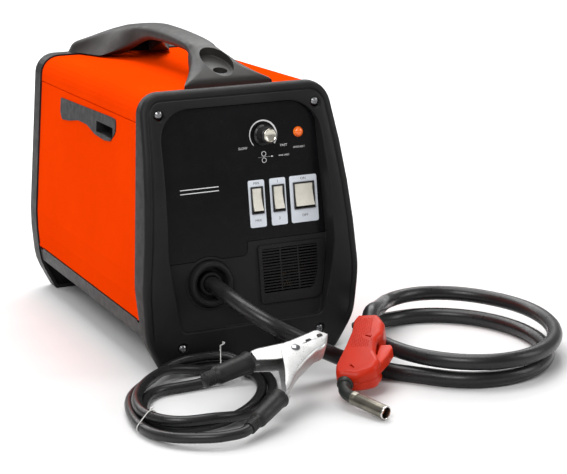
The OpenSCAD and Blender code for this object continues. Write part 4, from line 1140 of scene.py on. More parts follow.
@dataclass
class Studio:
    """Pale floor, soft lights and the camera."""

    focal: float = 1641.875
    frame_width: float = 567.0
    yaw: float = -0.4246
    pitch: float = 0.2427
    roll: float = -0.0185
    place: Place = (-669.5, -1768.3, 560.5)
    room: float = 0.32
    paper: tuple[float, ...] = (-7000, -1500, 1500, 7000)
    paper_z: float = -0.3

    def build(self) -> None:
        """Makes the whole studio."""
        bpy.context.scene.view_settings.view_transform = "Standard"
        self.camera()
        self.floor()
        self.lights()

    def camera(self) -> None:
        """A camera at the viewing place, its lens given by the focal length in pixels."""
        right = Vector((math.cos(self.yaw), math.sin(self.yaw), 0))
        level, drop = math.cos(self.pitch), -math.sin(self.pitch)
        ahead = Vector((-math.sin(self.yaw) * level, math.cos(self.yaw) * level, drop))
        up = right.cross(ahead)
        across = right * math.cos(self.roll) + up * math.sin(self.roll)
        raised = up * math.cos(self.roll) - right * math.sin(self.roll)
        data = bpy.data.cameras.new("camera")
        data.lens = data.sensor_width * self.focal / self.frame_width
        data.clip_start, data.clip_end = 0.05, 30.0
        camera = bpy.data.objects.new("camera", data)
        turn = Matrix((across, raised, -ahead)).transposed().to_4x4()
        camera.matrix_world = Matrix.Translation(Vector(self.place) * MM) @ turn
        linked(camera)
        bpy.context.scene.camera = camera

    def floor(self) -> None:
        """A wide flat sheet of pale paper."""
        shape = Shape([Vector((x, y, self.paper_z)) for y in self.paper for x in self.paper])
        count = len(self.paper)
        for i in range(count - 1):
            for j in range(count - 1):
                near, far = i * count + j, (i + 1) * count + j
                shape.faces.append((near, near + 1, far + 1, far))
        floor = object_of(shape, "floor", 80)
        floor.data.materials.append(FLOOR_PAPER.material())

    def lights(self) -> None:
        """A bright even room with large soft boxes."""
        world = bpy.data.worlds.new("room")
        world.use_nodes = True
        sky = world.node_tree.nodes["Background"]
        sky.inputs["Color"].default_value = (1, 1, 1, 1)
        sky.inputs["Strength"].default_value = self.room
        bpy.context.scene.world = world
        self.softbox("key", (-1.5, -1.6, 1.9), (0, -0.1, 0.1), (1.4, 1.1), 34)
        self.softbox("fill", (1.9, -1.3, 1.1), (0.05, -0.2, 0.1), (0.8, 1.4), 12)
        self.softbox("top", (0.1, 0.3, 2.4), (0, 0, 0), (1.8, 1.4), 36)
        self.softbox("back", (-0.9, 2.0, 1.3), (0, 0.1, 0.2), (1.6, 0.7), 12)
        self.softbox("far", (1.2, 2.7, 2.3), (1.2, 2.8, 0), (3.6, 2.8), 120)

    @staticmethod
    def softbox(name: str, place: Place, target: Place, size: Pair, watts: float) -> None:
        """A rectangular lamp aimed at a point.

        Args:
            name: its name.
            place: where it hangs, in metres.
            target: the point it faces.
            size: its width and height in metres.
            watts: its power.
        """
        data = bpy.data.lights.new(name, "AREA")
        data.shape, data.size, data.size_y, data.energy = "RECTANGLE", size[0], size[1], watts
        lamp = bpy.data.objects.new(name, data)
        lamp.location = place
        lamp.rotation_mode = "QUATERNION"
        lamp.rotation_quaternion = (Vector(target) - Vector(place)).to_track_quat("-Z", "Y")
        linked(lamp)


# -------------------- leads


@dataclass(frozen=True)
class ClampForm:
    """Where the earth clamp lies, and its lower sleeve, which the lead enters."""

    place: Place = (-21.0, -353.0, 54.0)
    tilt: float = 29.6
    sleeve_spot: Pair = (-31.5, -47.9)
    sleeve_way: Pair = (-0.821, -0.570)
    sleeve_length: float = 59.0


CLAMP = ClampForm()
TORCH_PLACE = (100.0, -282.0, 50.0)


@dataclass
class Leads(Assembly):
    """The torch lead and the earth lead, each one continuous cord, with their ties."""

    torch_size: float = 17.0
    earth_size: float = 10.5
    torch_length: float = 1.61
    earth_length: float = 1.46
    torch_span: Pair = (-110, 485)
    earth_span: Pair = (190, 935)
    torch_heading: Place = (-0.529, -0.803, -0.274)
    coil_steps: tuple[int, int] = (96, 130)
    tie_turns: Pair = (0.0, math.pi)
    tie_curl: Table = (
        (0, 0), (0.05, 0.3), (0.02, 0.55), (0.16, 0.68), (0.38, 0.7), (0.46, 0.82), (0.5, 1.0),
    )

    def torch_turn(self, angle: float) -> Vector:
        """The torch coil's centreline.

        Args:
            angle: how far round the coil, in degrees.

        Returns:
            The point there.
        """
        share = ease((angle + 110) / 500)
        swing, turn = math.radians(mix(0, -16, share)), math.radians(angle)
        x, y = mix(100, 98, share) * math.cos(turn), mix(116, 127, share) * math.sin(turn)
        place_x = mix(201, 219.5, share) + x * math.cos(swing) - y * math.sin(swing)
        place_y = mix(-277.6, -273.6, share) + x * math.sin(swing) + y * math.cos(swing)
        place_z = 8.7 + 19 * ease((angle - 96) / 100) + 5 * ease((angle - 400) / 90)
        return Vector((place_x, place_y, place_z))

    def earth_turn(self, angle: float) -> Vector:
        """The earth coil's centreline.

        Args:
            angle: how far round the coil, in degrees.

        Returns:
            The point there.
        """
        out = 5.8 * ease((angle - 475) / 45) + 5.8 * ease((angle - 650) / 45)
        out += 5 * (ease((angle - 842) / 22) - ease((angle - 900) / 40))
        up = ease((angle - 475) / 45) - ease((angle - 660) / 50)
        up += ease((angle - 788) / 30) - ease((angle - 845) / 45)
        turn, lie = math.radians(angle), math.radians(39)
        x, y = (56 + out) * math.cos(turn), (93 + out) * math.sin(turn)
        place_x = -98 + x * math.cos(lie) + y * math.sin(lie)
        place_y = -300 - x * math.sin(lie) + y * math.cos(lie)
        return Vector((place_x, place_y, 6.35 + 9.7 * up))

    def torch_path(self) -> list[Vector]:
        """The torch lead from the socket, round its coil, to the torch.

        Returns:
            Its centreline.
        """
        start, end = self.torch_span
        out = Vector((0, -math.cos(FORM.lean), math.sin(FORM.lean)))
        x, z = FORM.socket
        face = Vector((x, FORM.front_y + FORM.panel_depth + math.tan(FORM.lean) * z, z)) - out
        into = self.torch_turn(start + 0.5) - self.torch_turn(start)
        off = self.torch_turn(end) - self.torch_turn(end - 0.5)
        hold, torch, steps = Vector(self.torch_heading), Vector(TORCH_PLACE), self.coil_steps[0]
        lead = routed(
            [
                face, (-43.6, -237, 90), (-32, -268, 79), (-14, -291, 66), (11, -298, 51),
                (37, -297, 35), (62, -295, 21), (85, -302, 11.5), (103, -321, 8.8),
                (121, -343, 8.7), self.torch_turn(start),
            ],
            4, out, into,
        )
        coil = [self.torch_turn(mix(start, end, i / steps)) for i in range(steps + 1)]
        stops = [self.torch_turn(end), (162, -196, 41), (135, -237, 51), torch - hold * 20, torch]
        tail = routed(stops, 6, off, hold)
        return lead[:-1] + coil + tail[1:]

    def earth_path(self) -> list[Vector]:
        """The earth lead from its gland, round its coil, into the clamp's sleeve.

        Returns:
            Its centreline.
        """
        (start, end), steps = self.earth_span, self.coil_steps[1]
        into = self.earth_turn(start + 0.5) - self.earth_turn(start)
        off = self.earth_turn(end) - self.earth_turn(end - 0.5)
        lead = routed(
            [
                (38, -216, 24), (34, -241, 24), (17, -259, 24), (-8, -265, 23.5), (-33, -264, 19),
                (-58, -262, 12), (-83, -261, 7), (-107, -261.5, 6.4), (-132, -263.5, 6.4),
                self.earth_turn(start),
            ],
            4, Vector((0, -1, 0)), into,
        )
        coil = [self.earth_turn(mix(start, end, i / steps)) for i in range(steps + 1)]
        way, tilt = Vector(CLAMP.sleeve_way).normalized(), math.radians(CLAMP.tilt)
        flat = Vector(CLAMP.sleeve_spot) + way * CLAMP.sleeve_length
        level, rise = math.cos(tilt), math.sin(tilt)
        face = Vector(CLAMP.place) + Vector((flat.x, flat.y * level, flat.y * rise))
        heading = Vector((-way.x, -way.y * level, -way.y * rise))
        stops = [
            self.earth_turn(end), (-170, -397, 8), (-151, -415, 10), (-127, -426.5, 11.4), face
        ]
        tail = routed(stops, 6, off, heading)
        return lead[:-1] + coil + tail[1:]

    def cord(self, name: str, path: Sequence[Vector], size: float) -> Object:
        """A round cord as a curve of one open spline.

        Args:
            name: its name.
            path: its centreline in millimetres.
            size: its diameter in millimetres.

        Returns:
            The curve.
        """
        curve = bpy.data.curves.new(name, "CURVE")
        curve.dimensions = "3D"
        curve.bevel_depth = size / 2 * MM
        curve.bevel_resolution = 6
        curve.use_fill_caps = True
        spline = curve.splines.new("POLY")
        spline.points.add(len(path) - 1)
        for point, place in zip(spline.points, path):
            point.co = (*(place * MM), 1)
        spline.use_smooth = True
        thing = bpy.data.objects.new(name, curve)
        linked(thing)
        return thing

    def build(self, torch_pieces: Sequence[Object], clamp_pieces: Sequence[Object]) -> None:
        """Makes both cords and the ties.

        Args:
            torch_pieces: what is on the torch lead's end; not used.
            clamp_pieces: what is on the earth lead's end; not used.
        """
        torch, earth = self.torch_path(), self.earth_path()
        thick = self.cord("torch-lead", torch, self.torch_size)
        self.piece(thick, "torch-lead", LEAD_RUBBER, "lead_rubber", "torch_cable", "torch_coil")
        thin = self.cord("earth-lead", earth, self.earth_size)
        self.piece(thin, "earth-lead", LEAD_RUBBER, "lead_rubber", "earth_cable", "earth_coil")
        self.ties(earth)

    def ties(self, earth: Sequence[Vector]) -> None:
        """Two thin twisted ties, each round its strands, with its ends standing up.

        Args:
            earth: the earth lead's centreline.
        """
        spot, tail = Vector((-183.2, -356.4)), range(len(earth) - 29, len(earth))
        near = min(tail, key=lambda i: (earth[i].xy - spot).length)
        strands = [earth[near], self.earth_turn(249), self.earth_turn(607)]
        self.tie("tie-front", strands, earth[near + 1] - earth[near - 1], 3)
        top = self.earth_turn(820)
        heading = self.earth_turn(821) - self.earth_turn(819)
        self.tie("tie-rear", [top, self.earth_turn(460)], heading, 8.5)

    def tie(self, name: str, strands: Sequence[Vector], heading: Vector, tail: float) -> None:
        """A loop of wire round strands of the earth lead.

        Args:
            name: the piece's name.
            strands: the strands' centres.
            heading: the way the strands run there.
            tail: how far the twisted ends stand up.
        """
        run = Vector((heading.x, heading.y, 0)).normalized()
        side = Vector((run.y, -run.x, 0))
        middle = sum(strands, Vector()) / len(strands)
        flat = [Vector(((p - middle).dot(side), p.z - middle.z)) for p in strands]
        reach, floor, slant, steps, loop = self.earth_size / 2 + 0.75, 0.7, 0.5, 48, []
        for k in range(steps):
            angle = 2 * math.pi * k / steps
            out = Vector((math.cos(angle), math.sin(angle)))
            best = max(flat, key=lambda p, o=out: p.dot(o))
            spot = best + out * reach
            up = Vector((0, 0, max(spot.y, floor - middle.z)))
            loop.append(middle + side * spot.x + up + run * slant * math.sin(2 * angle))
        shape = piped(loop + [loop[0]], 0.55, 8)
        root = max(loop, key=lambda p: p.z)
        curl = softened(self.tie_curl, 6)
        thin, pitch, parting, fan = 0.42, 0.55, 25, 0.12
        for turn in self.tie_turns:
            rise = []
            for k, p in enumerate(curl):
                spread = thin + max(0, k - parting) * fan
                twist = side * math.cos(k * pitch + turn) + run * math.sin(k * pitch + turn)
                rise.append(root + Vector((p.x * tail, 0, p.y * tail)) + twist * spread)
            shape.add(piped(rise, thin, 6))
        nodes = ("cable_ties",) if name == "tie-front" else ()
        self.piece(shape, name, TIE_WHITE, "tie_white", *nodes)


# -------------------- front frame and panel


@dataclass
class FrontFrame(Assembly):
    """The moulded front frame with its crowned rim and leaning control recess."""

    wall: float = 3.0
    rim: float = 5.5
    groove: float = 1.3
    groove_depth: float = 1.35
    groove_line: Table = (
        (7.0, 0.0), (7.5, 0.25), (7.9, 1.0), (8.5, 1.35), (9.1, 1.0), (9.5, 0.25), (10.0, 0.0),
    )
    recess_edge: float = 2.2
    floor_edge: float = 1.0
    floor_rise: float = 0.6
    screws: Table = ((-90, 275), (90, 275), (-81, 26), (81, 26))
    hinge_pin: Place = (-119.1, -175, 60)
    hinge_pin_length: float = 21.0

    @staticmethod
    def around(step: float) -> list[Vector]:
        """The frame's outline, that far inside it."""
        return rounded(inset(FORM.outline, step), 10, 4)

    def on_crown(self, step: float, depth: float) -> list[Vector]:
        """The recess outline carried out to the crowned front.

        Args:
            step: how far inside the outline.
            depth: how deep under the crown.

        Returns:
            The ring.
        """
        ring, frame = [], FORM.on_panel()
        for p in rounded(inset(FORM.window_corners(), step), 10, 4):
            t = -5.0
            for _ in range(6):
                here = frame @ Vector((p.x, t, p.y))
                t += (FORM.crown(here.z) + depth - here.y) / math.cos(FORM.lean)
            ring.append(frame @ Vector((p.x, t, p.y)))
        return ring

    def in_recess(self, step: float, depth: float) -> list[Vector]:
        """The recess outline at a depth behind the panel."""
        frame, ring = FORM.on_panel(), rounded(inset(FORM.window_corners(), step), 10, 4)
        return [frame @ Vector((p.x, depth, p.y)) for p in ring]

    def body_shape(self) -> Shape:
        """The frame as one closed shell: rim, groove, band, recess and its back.

        Returns:
            The shell.
        """
        rings = [[Vector((p.x, FORM.seat(p.y), p.y)) for p in self.around(0)]]
        for side, up in quarter(6):
            flat = self.around(self.rim * side)
            rings.append([Vector((p.x, FORM.crown(p.y) + self.rim * up, p.y)) for p in flat])
        for step, depth in self.groove_line:
            deep = depth * self.groove / self.groove_depth
            ring = []
            for p in self.around(step):
                ring.append(Vector((p.x, FORM.crown(p.y) + deep * ease((p.y - 30) / 16), p.y)))
            rings.append(ring)
        for side, up in quarter(4):
            rings.append(self.on_crown(-self.recess_edge * up, self.recess_edge * side))
        for side, up in quarter(3):
            depth = -self.floor_rise - self.floor_edge * up
            rings.append(self.in_recess(self.floor_edge * side, depth))
        front = lofted(rings, caps=False)
        count = len(rings[0])
        front.faces.append(tuple((len(rings) - 1) * count + j for j in range(count)))
        back = [
            [Vector((p.x, FORM.seat(p.y), p.y)) for p in self.around(self.wall)],
            [Vector((p.x, FORM.crown(p.y) + self.wall, p.y)) for p in self.around(self.wall + 1)],
            self.on_crown(-2.6, self.wall),
            self.in_recess(-2.5, 5.0),
        ]
        inner = lofted(back, caps=False)
        inner.faces.append(tuple(reversed([3 * count + j for j in range(count)])))
        first = len(front.points)
        front.add(inner)
        for j in range(count):
            k = (j + 1) % count
            front.faces.append((j, first + j, first + k, k))
        return front

    def cutters(self) -> list[Shape]:
        """The pocket for the fascia, the openings, the bores and the screw dishes.

        Returns:
            The shapes to cut out, in order.
        """
        facing, pu = FORM.facing(), FORM.pu
        low, step, high = pu(116), pu(131), pu(277.9)
        pocket = [
            (-96.0, low, 7), (2, low, 7), (2.1, step, 0.5), (96.0, step, 0.5), (90.3, high, 23.8),
            (-90.3, high, 23.8),
        ]
        made = [slab(pocket, -2.0, 3.0, CRISP, 8).placed(facing)]
        for place, bore in ((FORM.dial, 4.1), (FORM.lamp, 4.3), (FORM.socket, 20.1)):
            made.append(rod(bore, -30, 30, 48).placed(FORM.out_of_panel(place)))
        middle, tall = pu(FORM.switch_z), FORM.switch_height / 2 + 0.1
        for centre, wide in FORM.switches:
            half = wide / 2 + 0.9
            hole = oblong(centre - half, middle - tall, centre + half, middle + tall, 0.5)
            made.append(slab(hole, -12, 10, CRISP, 2).placed(facing))
        vent = [
            (19, pu(75), 2), (76, pu(75), 4), (81, pu(92), 10), (82, pu(119), 2), (19, pu(119), 2)
        ]
        made.append(slab(vent, -12, 10, CRISP, 4).placed(facing))
        dish = [
            (AXIS, -30), (2.2, -30), (2.2, -2.6), (5.0, -2.6), (5.4, -1.2), (6.8, 0.2), (7.6, 3),
            (AXIS, 3),
        ]
        for place in self.screws:
            made.append(turned(dish, 40).placed(FORM.out_of_crown(place)))
        made.append(rod(6.3, -30, 12, 40).placed(FORM.out_of_crown(FORM.gland)))
        return made

    def build(self) -> None:
        """Makes the frame with the socket's ring, the earth lead's boss and a hinge pin."""
        frame = object_of(self.body_shape(), "front-frame")
        carved(frame, self.cutters(), 32)
        parts = Shape()
        ring = turned(
            [(25.6, -1.0), (28.9, -1.0), (28.9, 0.5), (28.3, 1.2), (26.4, 1.2), (25.6, 0.6)], 72
        )
        parts.add(ring.placed(FORM.out_of_panel(FORM.socket)))
        boss = turned([(6.15, -5), (11, -5), (11, 2.6), (10.2, 3.7), (6.9, 3.7), (6.15, 3.2)], 48)
        parts.add(boss.placed(FORM.out_of_crown(FORM.gland)))
        pin = Matrix.Translation(self.hinge_pin) @ turned_to((90, 0, 0))
        parts.add(rod(1.8, 0, self.hinge_pin_length, 24).placed(pin))
        extra = object_of(parts, "front-frame-fittings")
        self.piece(frame, "front-frame", BLACK_MOULDING, "moulding_black", "front_bezel")
        self.piece(extra, "front-frame-fittings", BLACK_MOULDING, "moulding_black", "front_bezel")


@dataclass
class ControlPanel(Assembly):
    """Fascia, printed marks, speed knob, lamp, switches and vent."""

    print_rise: float = 0.06
    letter_scale: float = 1.4
    plate_rise: float = 1.2
    arc_steps: int = 48
    pointer_turn: float = 50.0

    def print_on(self, shape: Shape, rise: float = 0.0) -> Shape:
        """Lays a flat mark on the panel, that far out of it."""
        return shape.placed(FORM.facing() @ Matrix.Translation((0, 0, rise)))

    def lettering(self, words: str, x: float, z: float, size: float, rise: float = 0.0) -> Shape:
        """Generic words as a thin flat shape.

        Args:
            words: what is written.
            x: middle of the words across the panel.
            z: middle of the words' height on the machine.
            size: letter height in millimetres.
            rise: how far out of the panel they lie.

        Returns:
            The letters, laid on the panel.
        """
        data = bpy.data.curves.new("letters", "FONT")
        data.body, data.size, data.extrude = words, size * self.letter_scale, self.print_rise / 2
        data.align_x, data.align_y = "CENTER", "CENTER"
        data.resolution_u = 3
        thing = bpy.data.objects.new("letters", data)
        linked(thing)
        bpy.context.view_layer.update()
        ready = thing.evaluated_get(bpy.context.evaluated_depsgraph_get())
        mesh = bpy.data.meshes.new_from_object(ready)
        faces = [tuple(p.vertices) for p in mesh.polygons]
        shape = Shape([v.co.copy() for v in mesh.vertices], faces)
        bpy.data.objects.remove(thing)
        middle = Matrix.Translation((x, FORM.pu(z), self.print_rise / 2))
        return self.print_on(shape.placed(middle), rise)

    def arc(self, centre: Pair, radius: float, start: float, end: float, widths: Pair) -> Shape:
        """A printed arc that widens along its length.

        Args:
            centre: its centre on the panel (x, height).
            radius: radius of its middle line.
            start: angle of its thin end in degrees.
            end: angle of its wide end.
            widths: width at the two ends.

        Returns:
            The arc, laid on the panel.
        """
        rings = []
        for k in range(self.arc_steps + 1):
            share = k / self.arc_steps
            angle = math.radians(mix(start, end, share))
            half = mix(widths[0], widths[1], share) / 2
            out = Vector((math.cos(angle), math.sin(angle), 0))
            mid = Vector((centre[0], FORM.pu(centre[1]), 0)) + out * radius
            near, far, rise = mid - out * half, mid + out * half, Vector((0, 0, self.print_rise))
            rings.append([near, far, far + rise, near + rise])
        return self.print_on(lofted(rings))

    def circle(self, x: float, z: float, radius: float, width: float) -> Shape:
        """A printed ring on the panel.

        Args:
            x: its middle across the panel.
            z: its middle's height on the machine.
            radius: radius of its middle line.
            width: width of the line.

        Returns:
            The ring, laid on the panel.
        """
        inner, outer, rise = radius - width / 2, radius + width / 2, self.print_rise
        ring = turned([(inner, 0), (outer, 0), (outer, rise), (inner, rise)], 32)
        return self.print_on(ring.placed(Matrix.Translation((x, FORM.pu(z), 0))))

    def bar(self, x0: float, x1: float, z: float, width: float) -> Shape:
        """A printed line across the panel.

        Args:
            x0: its left end.
            x1: its right end.
            z: its height on the machine.
            width: its width.

        Returns:
            The line, laid on the panel.
        """
        mid = FORM.pu(z)
        corners = oblong(x0, mid - width / 2, x1, mid + width / 2, 0.05)
        return self.print_on(slab(corners, 0, self.print_rise, CRISP, 1))

    def marks(self) -> None:
        """The white and black prints: dial arc, feed sign, rules and generic words."""
        x, z = FORM.dial
        line = z - 23.7
        white = self.arc((x, z), 15.6, 222, -38, (0.7, 2.3))
        white.add(self.lettering("SLOW", x - 24.5, z - 12.6, 2.7))
        white.add(self.lettering("FAST", x + 23.5, z - 13.0, 2.7))
        for roll in (z - 20.3, z - 27.2):
            white.add(self.circle(x - 0.5, roll, 2.5, 0.5))
        white.add(self.bar(x - 7.5, x + 8.0, line, 0.45))
        mid = FORM.pu(line)
        arrow = [(x + 8, mid - 1.0, 0.1), (x + 11.4, mid, 0.1), (x + 8, mid + 1.0, 0.1)]
        white.add(self.print_on(slab(arrow, 0, self.print_rise, CRISP, 1)))
        white.add(self.lettering("WIRE SPEED", x + 23, line, 1.7))
        white.add(self.lettering("OVERHEAT", FORM.lamp[0], z - 16.5, 2.0))
        for rule in (193.4, 189.2):
            white.add(self.bar(-71, -26.5, rule, 0.9))
        self.piece(white, "panel-print", PRINT_WHITE, "plate_white", degrees=60)
        black = Shape()
        for height, words, sizes in (
            (192.6, ("MIN", "1", "ON"), (2.7, 2.9, 2.9)),
            (152.5, ("MAX", "2", "OFF"), (2.5, 2.9, 2.9)),
        ):
            for (centre, _), word, size in zip(FORM.switches, words, sizes):
                black.add(self.lettering(word, centre, height, size, self.plate_rise))
        self.piece(black, "plate-print", PRINT_BLACK, "moulding_black", degrees=60)

    def knob(self) -> None:
        """A skirted knob with a fluted grip, a pointer line and a spun metal cap."""
        outline = [
            (AXIS, 1.2), (11.0, 1.2), (11.5, 1.6), (11.5, 2.6), (11.2, 3.0), (9.9, 4.0), (9.6, 4.6),
            (9.0, 16.6), (8.6, 17.5), (7.9, 18.0), (7.35, 18.0), (7.3, 17.6), (AXIS, 17.6),
        ]
        deep, flutes, grip_low, grip_high, grip_in = 0.35, 24, 4.2, 17.2, 8

        def flute(angle: float, radius: float, height: float) -> float:
            """How much the grip's flutes take off the radius."""
            held = grip_low < height < grip_high and radius > grip_in
            return -(deep * (0.5 - 0.5 * math.cos(angle * flutes))) if held else 0.0

        shape = turned(outline, 96, flute)
        shape.add(rod(3.0, -12, 2, 32))
        at = FORM.out_of_panel(FORM.dial)
        self.piece(
            shape.placed(at), "speed-knob", KNOB_PLASTIC, "knob_black", "speed_knob", body="knob",
            degrees=30,
        )
        dome = [
            (AXIS, 17.6), (7.3, 17.6), (7.3, 19.2), (7.0, 19.7), (6.5, 19.9), (6.0, 19.5),
            (5.6, 19.2), (AXIS, 19.1),
        ]
        cap = turned(dome, 96)
        self.piece(
            cap.placed(at), "knob-cap", KNOB_CAP, "cap_silver", "knob_cap", body="knob", degrees=40
        )
        pointer = slab(oblong(-0.45, 9.6, 0.45, 11.3, 0.2), 2.4, 3.05, 0.05, 2)
        turn = Matrix.Rotation(math.radians(self.pointer_turn), 4, "Z")
        self.piece(
            pointer.placed(at @ turn), "knob-pointer", PRINT_WHITE, "knob_black", body="knob"
        )

    def lamp(self) -> None:
        """A domed amber lens with a faceted base ring."""
        dome = [
            (AXIS, 0.02), (5.6, 0.02), (5.6, 0.9), (5.3, 1.3), (4.9, 2.4), (4.2, 3.3), (3.2, 4.05),
            (2.0, 4.5), (0.9, 4.68), (AXIS, 4.7),
        ]
        deep, facets, low, high = 0.12, 18, 1.0, 3.0

        def facet(angle: float, radius: float, height: float) -> float:
            """What the base ring's facets add to the radius."""
            return deep * math.cos(angle * facets) if low < height < high else 0.0

        shape = turned(dome, 72, facet)
        shape.add(rod(4.0, -12, 0.5, 32))
        lens = shape.placed(FORM.out_of_panel(FORM.lamp))
        self.piece(lens, "overheat-lamp", LAMP_AMBER, "lamp_amber", "lamp_lens")

    def build(self) -> None:
        """Makes the panel's pieces and dresses its carried-over parts."""
        self.marks()
        self.knob()
        self.lamp()
        for name, finish, edge in (
            ("control_fascia", FASCIA_FILM, 0.25), ("vent_grille", BLACK_MOULDING, 0.3),
            ("speed_pot", POT_METAL, 0.3), ("switch_plates", PLATE_WHITE, 0.25),
            ("switch_frames", KNOB_PLASTIC, 0.25), ("step_rocker", ROCKER_IVORY, 0.5),
            ("range_rocker", ROCKER_IVORY, 0.5), ("power_rocker", ROCKER_IVORY, 0.5),
            ("torch_socket", BLACK_MOULDING, 0.3), ("earth_gland", GRIP_RUBBER, 0.3),
        ):
            self.dress(name, finish, edge)


# -------------------- casing, handle and rear frame


@dataclass
class Casing(Assembly):
    """Sheet cover, side door with its grip, tray, screws and the rear frame."""

    def build(self) -> None:
        """Dresses the casing's parts."""
        self.dress("top_cover", ORANGE_PAINT, 0.3, 60)
        self.dress("side_door", ORANGE_PAINT, 0.3, 60)
        self.dress("door_grip", GRIP_RUBBER, 0.5, 40)
        self.dress("base_tray", CHASSIS_PAINT, 0.3, 60)
        self.dress("rear_frame", BLACK_MOULDING, 1.2, 50)
        self.dress("case_screws", SCREW_STEEL, 0.15)
        self.dress("mains_gland", FAN_PLASTIC, 0.6)


@dataclass
class CarryHandle(Assembly):
    """The moulded handle: a low arch whose feet flare out to the end frames."""

    top: Table = (
        (-152, 299.5), (-147, 305), (-127, 316.8), (-100, 327.6), (-60, 336.3), (0, 341.0),
        (45, 341.6), (90, 339.6), (130, 335.4), (150, 331.4), (165, 327.2), (180, 321.2),
        (190, 316.6), (197, 313.4), (203, 310.8), (208, 307.6), (210, 304.4), (210.9, 301),
    )
    under: Table = (
        (-152, 295.2), (-105, 295.2), (-97, 296), (-90, 301.5), (-83, 313), (-77, 321),
        (-68, 323.6), (-50, 324.6), (40, 324.6), (65, 321.6), (80, 318), (100, 312.2), (130, 302.6),
        (145, 298), (156, 297.4), (170, 297.4), (211, 297.4),
    )
    plan: Table = (
        (-152, 51), (-135, 42), (-115, 31), (-98, 23.4), (-80, 19.2), (-50, 17.6), (0, 17.4),
        (100, 17.6), (130, 19.2), (150, 23), (165, 30), (180, 41), (190, 50), (200, 58.5),
        (206, 61), (211, 58),
    )
    spread: Table = (
        (60, 17.5), (90, 20), (110, 27), (130, 37), (145, 45), (160, 50), (175, 55), (190, 61),
        (200, 65.5), (205, 67), (209, 66), (211, 62),
    )
    flare: Table = (
        (294, 70), (298.4, 69), (300.4, 57), (303.4, 46), (309, 35.5), (316, 26), (323, 20.5),
        (330, 17.6), (343, 15.2),
    )
    ends: Pair = (-151.8, 210.9)
    inside: Pair = (-70, 196)
    sections: int = 120
    dish_place: Place = (0, -118, 312.7)
    dish_lean: float = 16.0
    dish_stretch: float = 1.85
    wells: tuple[Place, ...] = ((0, -129, 301), (0, 176, 303))

    def section(self, y: float) -> list[Vector]:
        """The closed ring round the handle.

        Args:
            y: where along the handle.

        Returns:
            The ring's points.
        """
        high, low, wide = along(self.top, y), along(self.under, y), along(self.plan, y)
        span = high - low
        crown = min(8.0, span * 0.46)
        foot = min(6.5, span * 0.46) * ease((low - 299) / 18)
        side = []
        for k in range(15):
            share = k / 14
            z = low + span * (0.5 - 0.5 * math.cos(math.pi * share))
            half = min(wide, along(self.flare, z))
            near = wide - along(self.flare, z)
            half -= 2.0 * max(0.0, 1 - abs(near) / 8) ** 2
            half = mix(half, mix(along(self.spread, y), wide, ease(share)), ease((y - 20) / 50))
            up, down = z - (high - crown), low + foot - z
            if up > 0:
                half -= crown - math.sqrt(max(0.0, crown * crown - up * up))
            if down > 0:
                half -= foot - math.sqrt(max(0.0, foot * foot - down * down))
            side.append((max(half, 2.0), z))
        ring = [Vector((x, y, z)) for x, z in side]
        lid = side[-1][0]
        for k in range(1, 8):
            out = 1 - k / 4
            ring.append(Vector((lid * out, y, high + 0.25 * (1 - out**2))))
        ring += [Vector((-x, y, z)) for x, z in reversed(side)]
        base = side[0][0]
        return ring + [Vector((base * (k / 4 - 1), y, low)) for k in range(1, 8)]

    def hollow(self) -> Shape:
        """The space inside the moulding, open towards the roof.

        Returns:
            The space, to be cut out.
        """
        rings, steps = [], 54
        for k in range(steps + 1):
            y = mix(*self.inside, k / steps)
            high, low, wide = along(self.top, y), along(self.under, y), along(self.plan, y) - 3.6
            half = [(wide, low - 6), (wide, high - 8.5), (wide - 4.5, high - 4.5)]
            rings.append([Vector((x, y, z)) for x, z in half])
            rings[-1] += [Vector((-x, y, z)) for x, z in reversed(half)]
        return lofted(rings)

    def build(self) -> None:
        """Makes the handle with its two screw wells and the dish in its front foot."""
        stops = [mix(*self.ends, k / self.sections) for k in range(self.sections + 1)]
        handle = object_of(lofted([self.section(y) for y in stops]), "carry-handle", 40)
        dish = turned([(AXIS, 0), (14.4, 0), (15.4, 0.5), (16.0, 1.5), (18.0, 26), (AXIS, 26)], 64)
        oval = turned_to((self.dish_lean, 0, 0)) @ Matrix.Diagonal((1, self.dish_stretch, 1, 1))
        cuts = [self.hollow(), dish.placed(Matrix.Translation(self.dish_place) @ oval)]
        cuts += [rod(7.9, 0, 60, 40).placed(Matrix.Translation(place)) for place in self.wells]
        carved(handle, cuts, 40)
        softened_edges(handle, 0.7, 3, 42)
        self.piece(handle, "carry-handle", HANDLE_MOULDING, "moulding_black", "carry_handle")


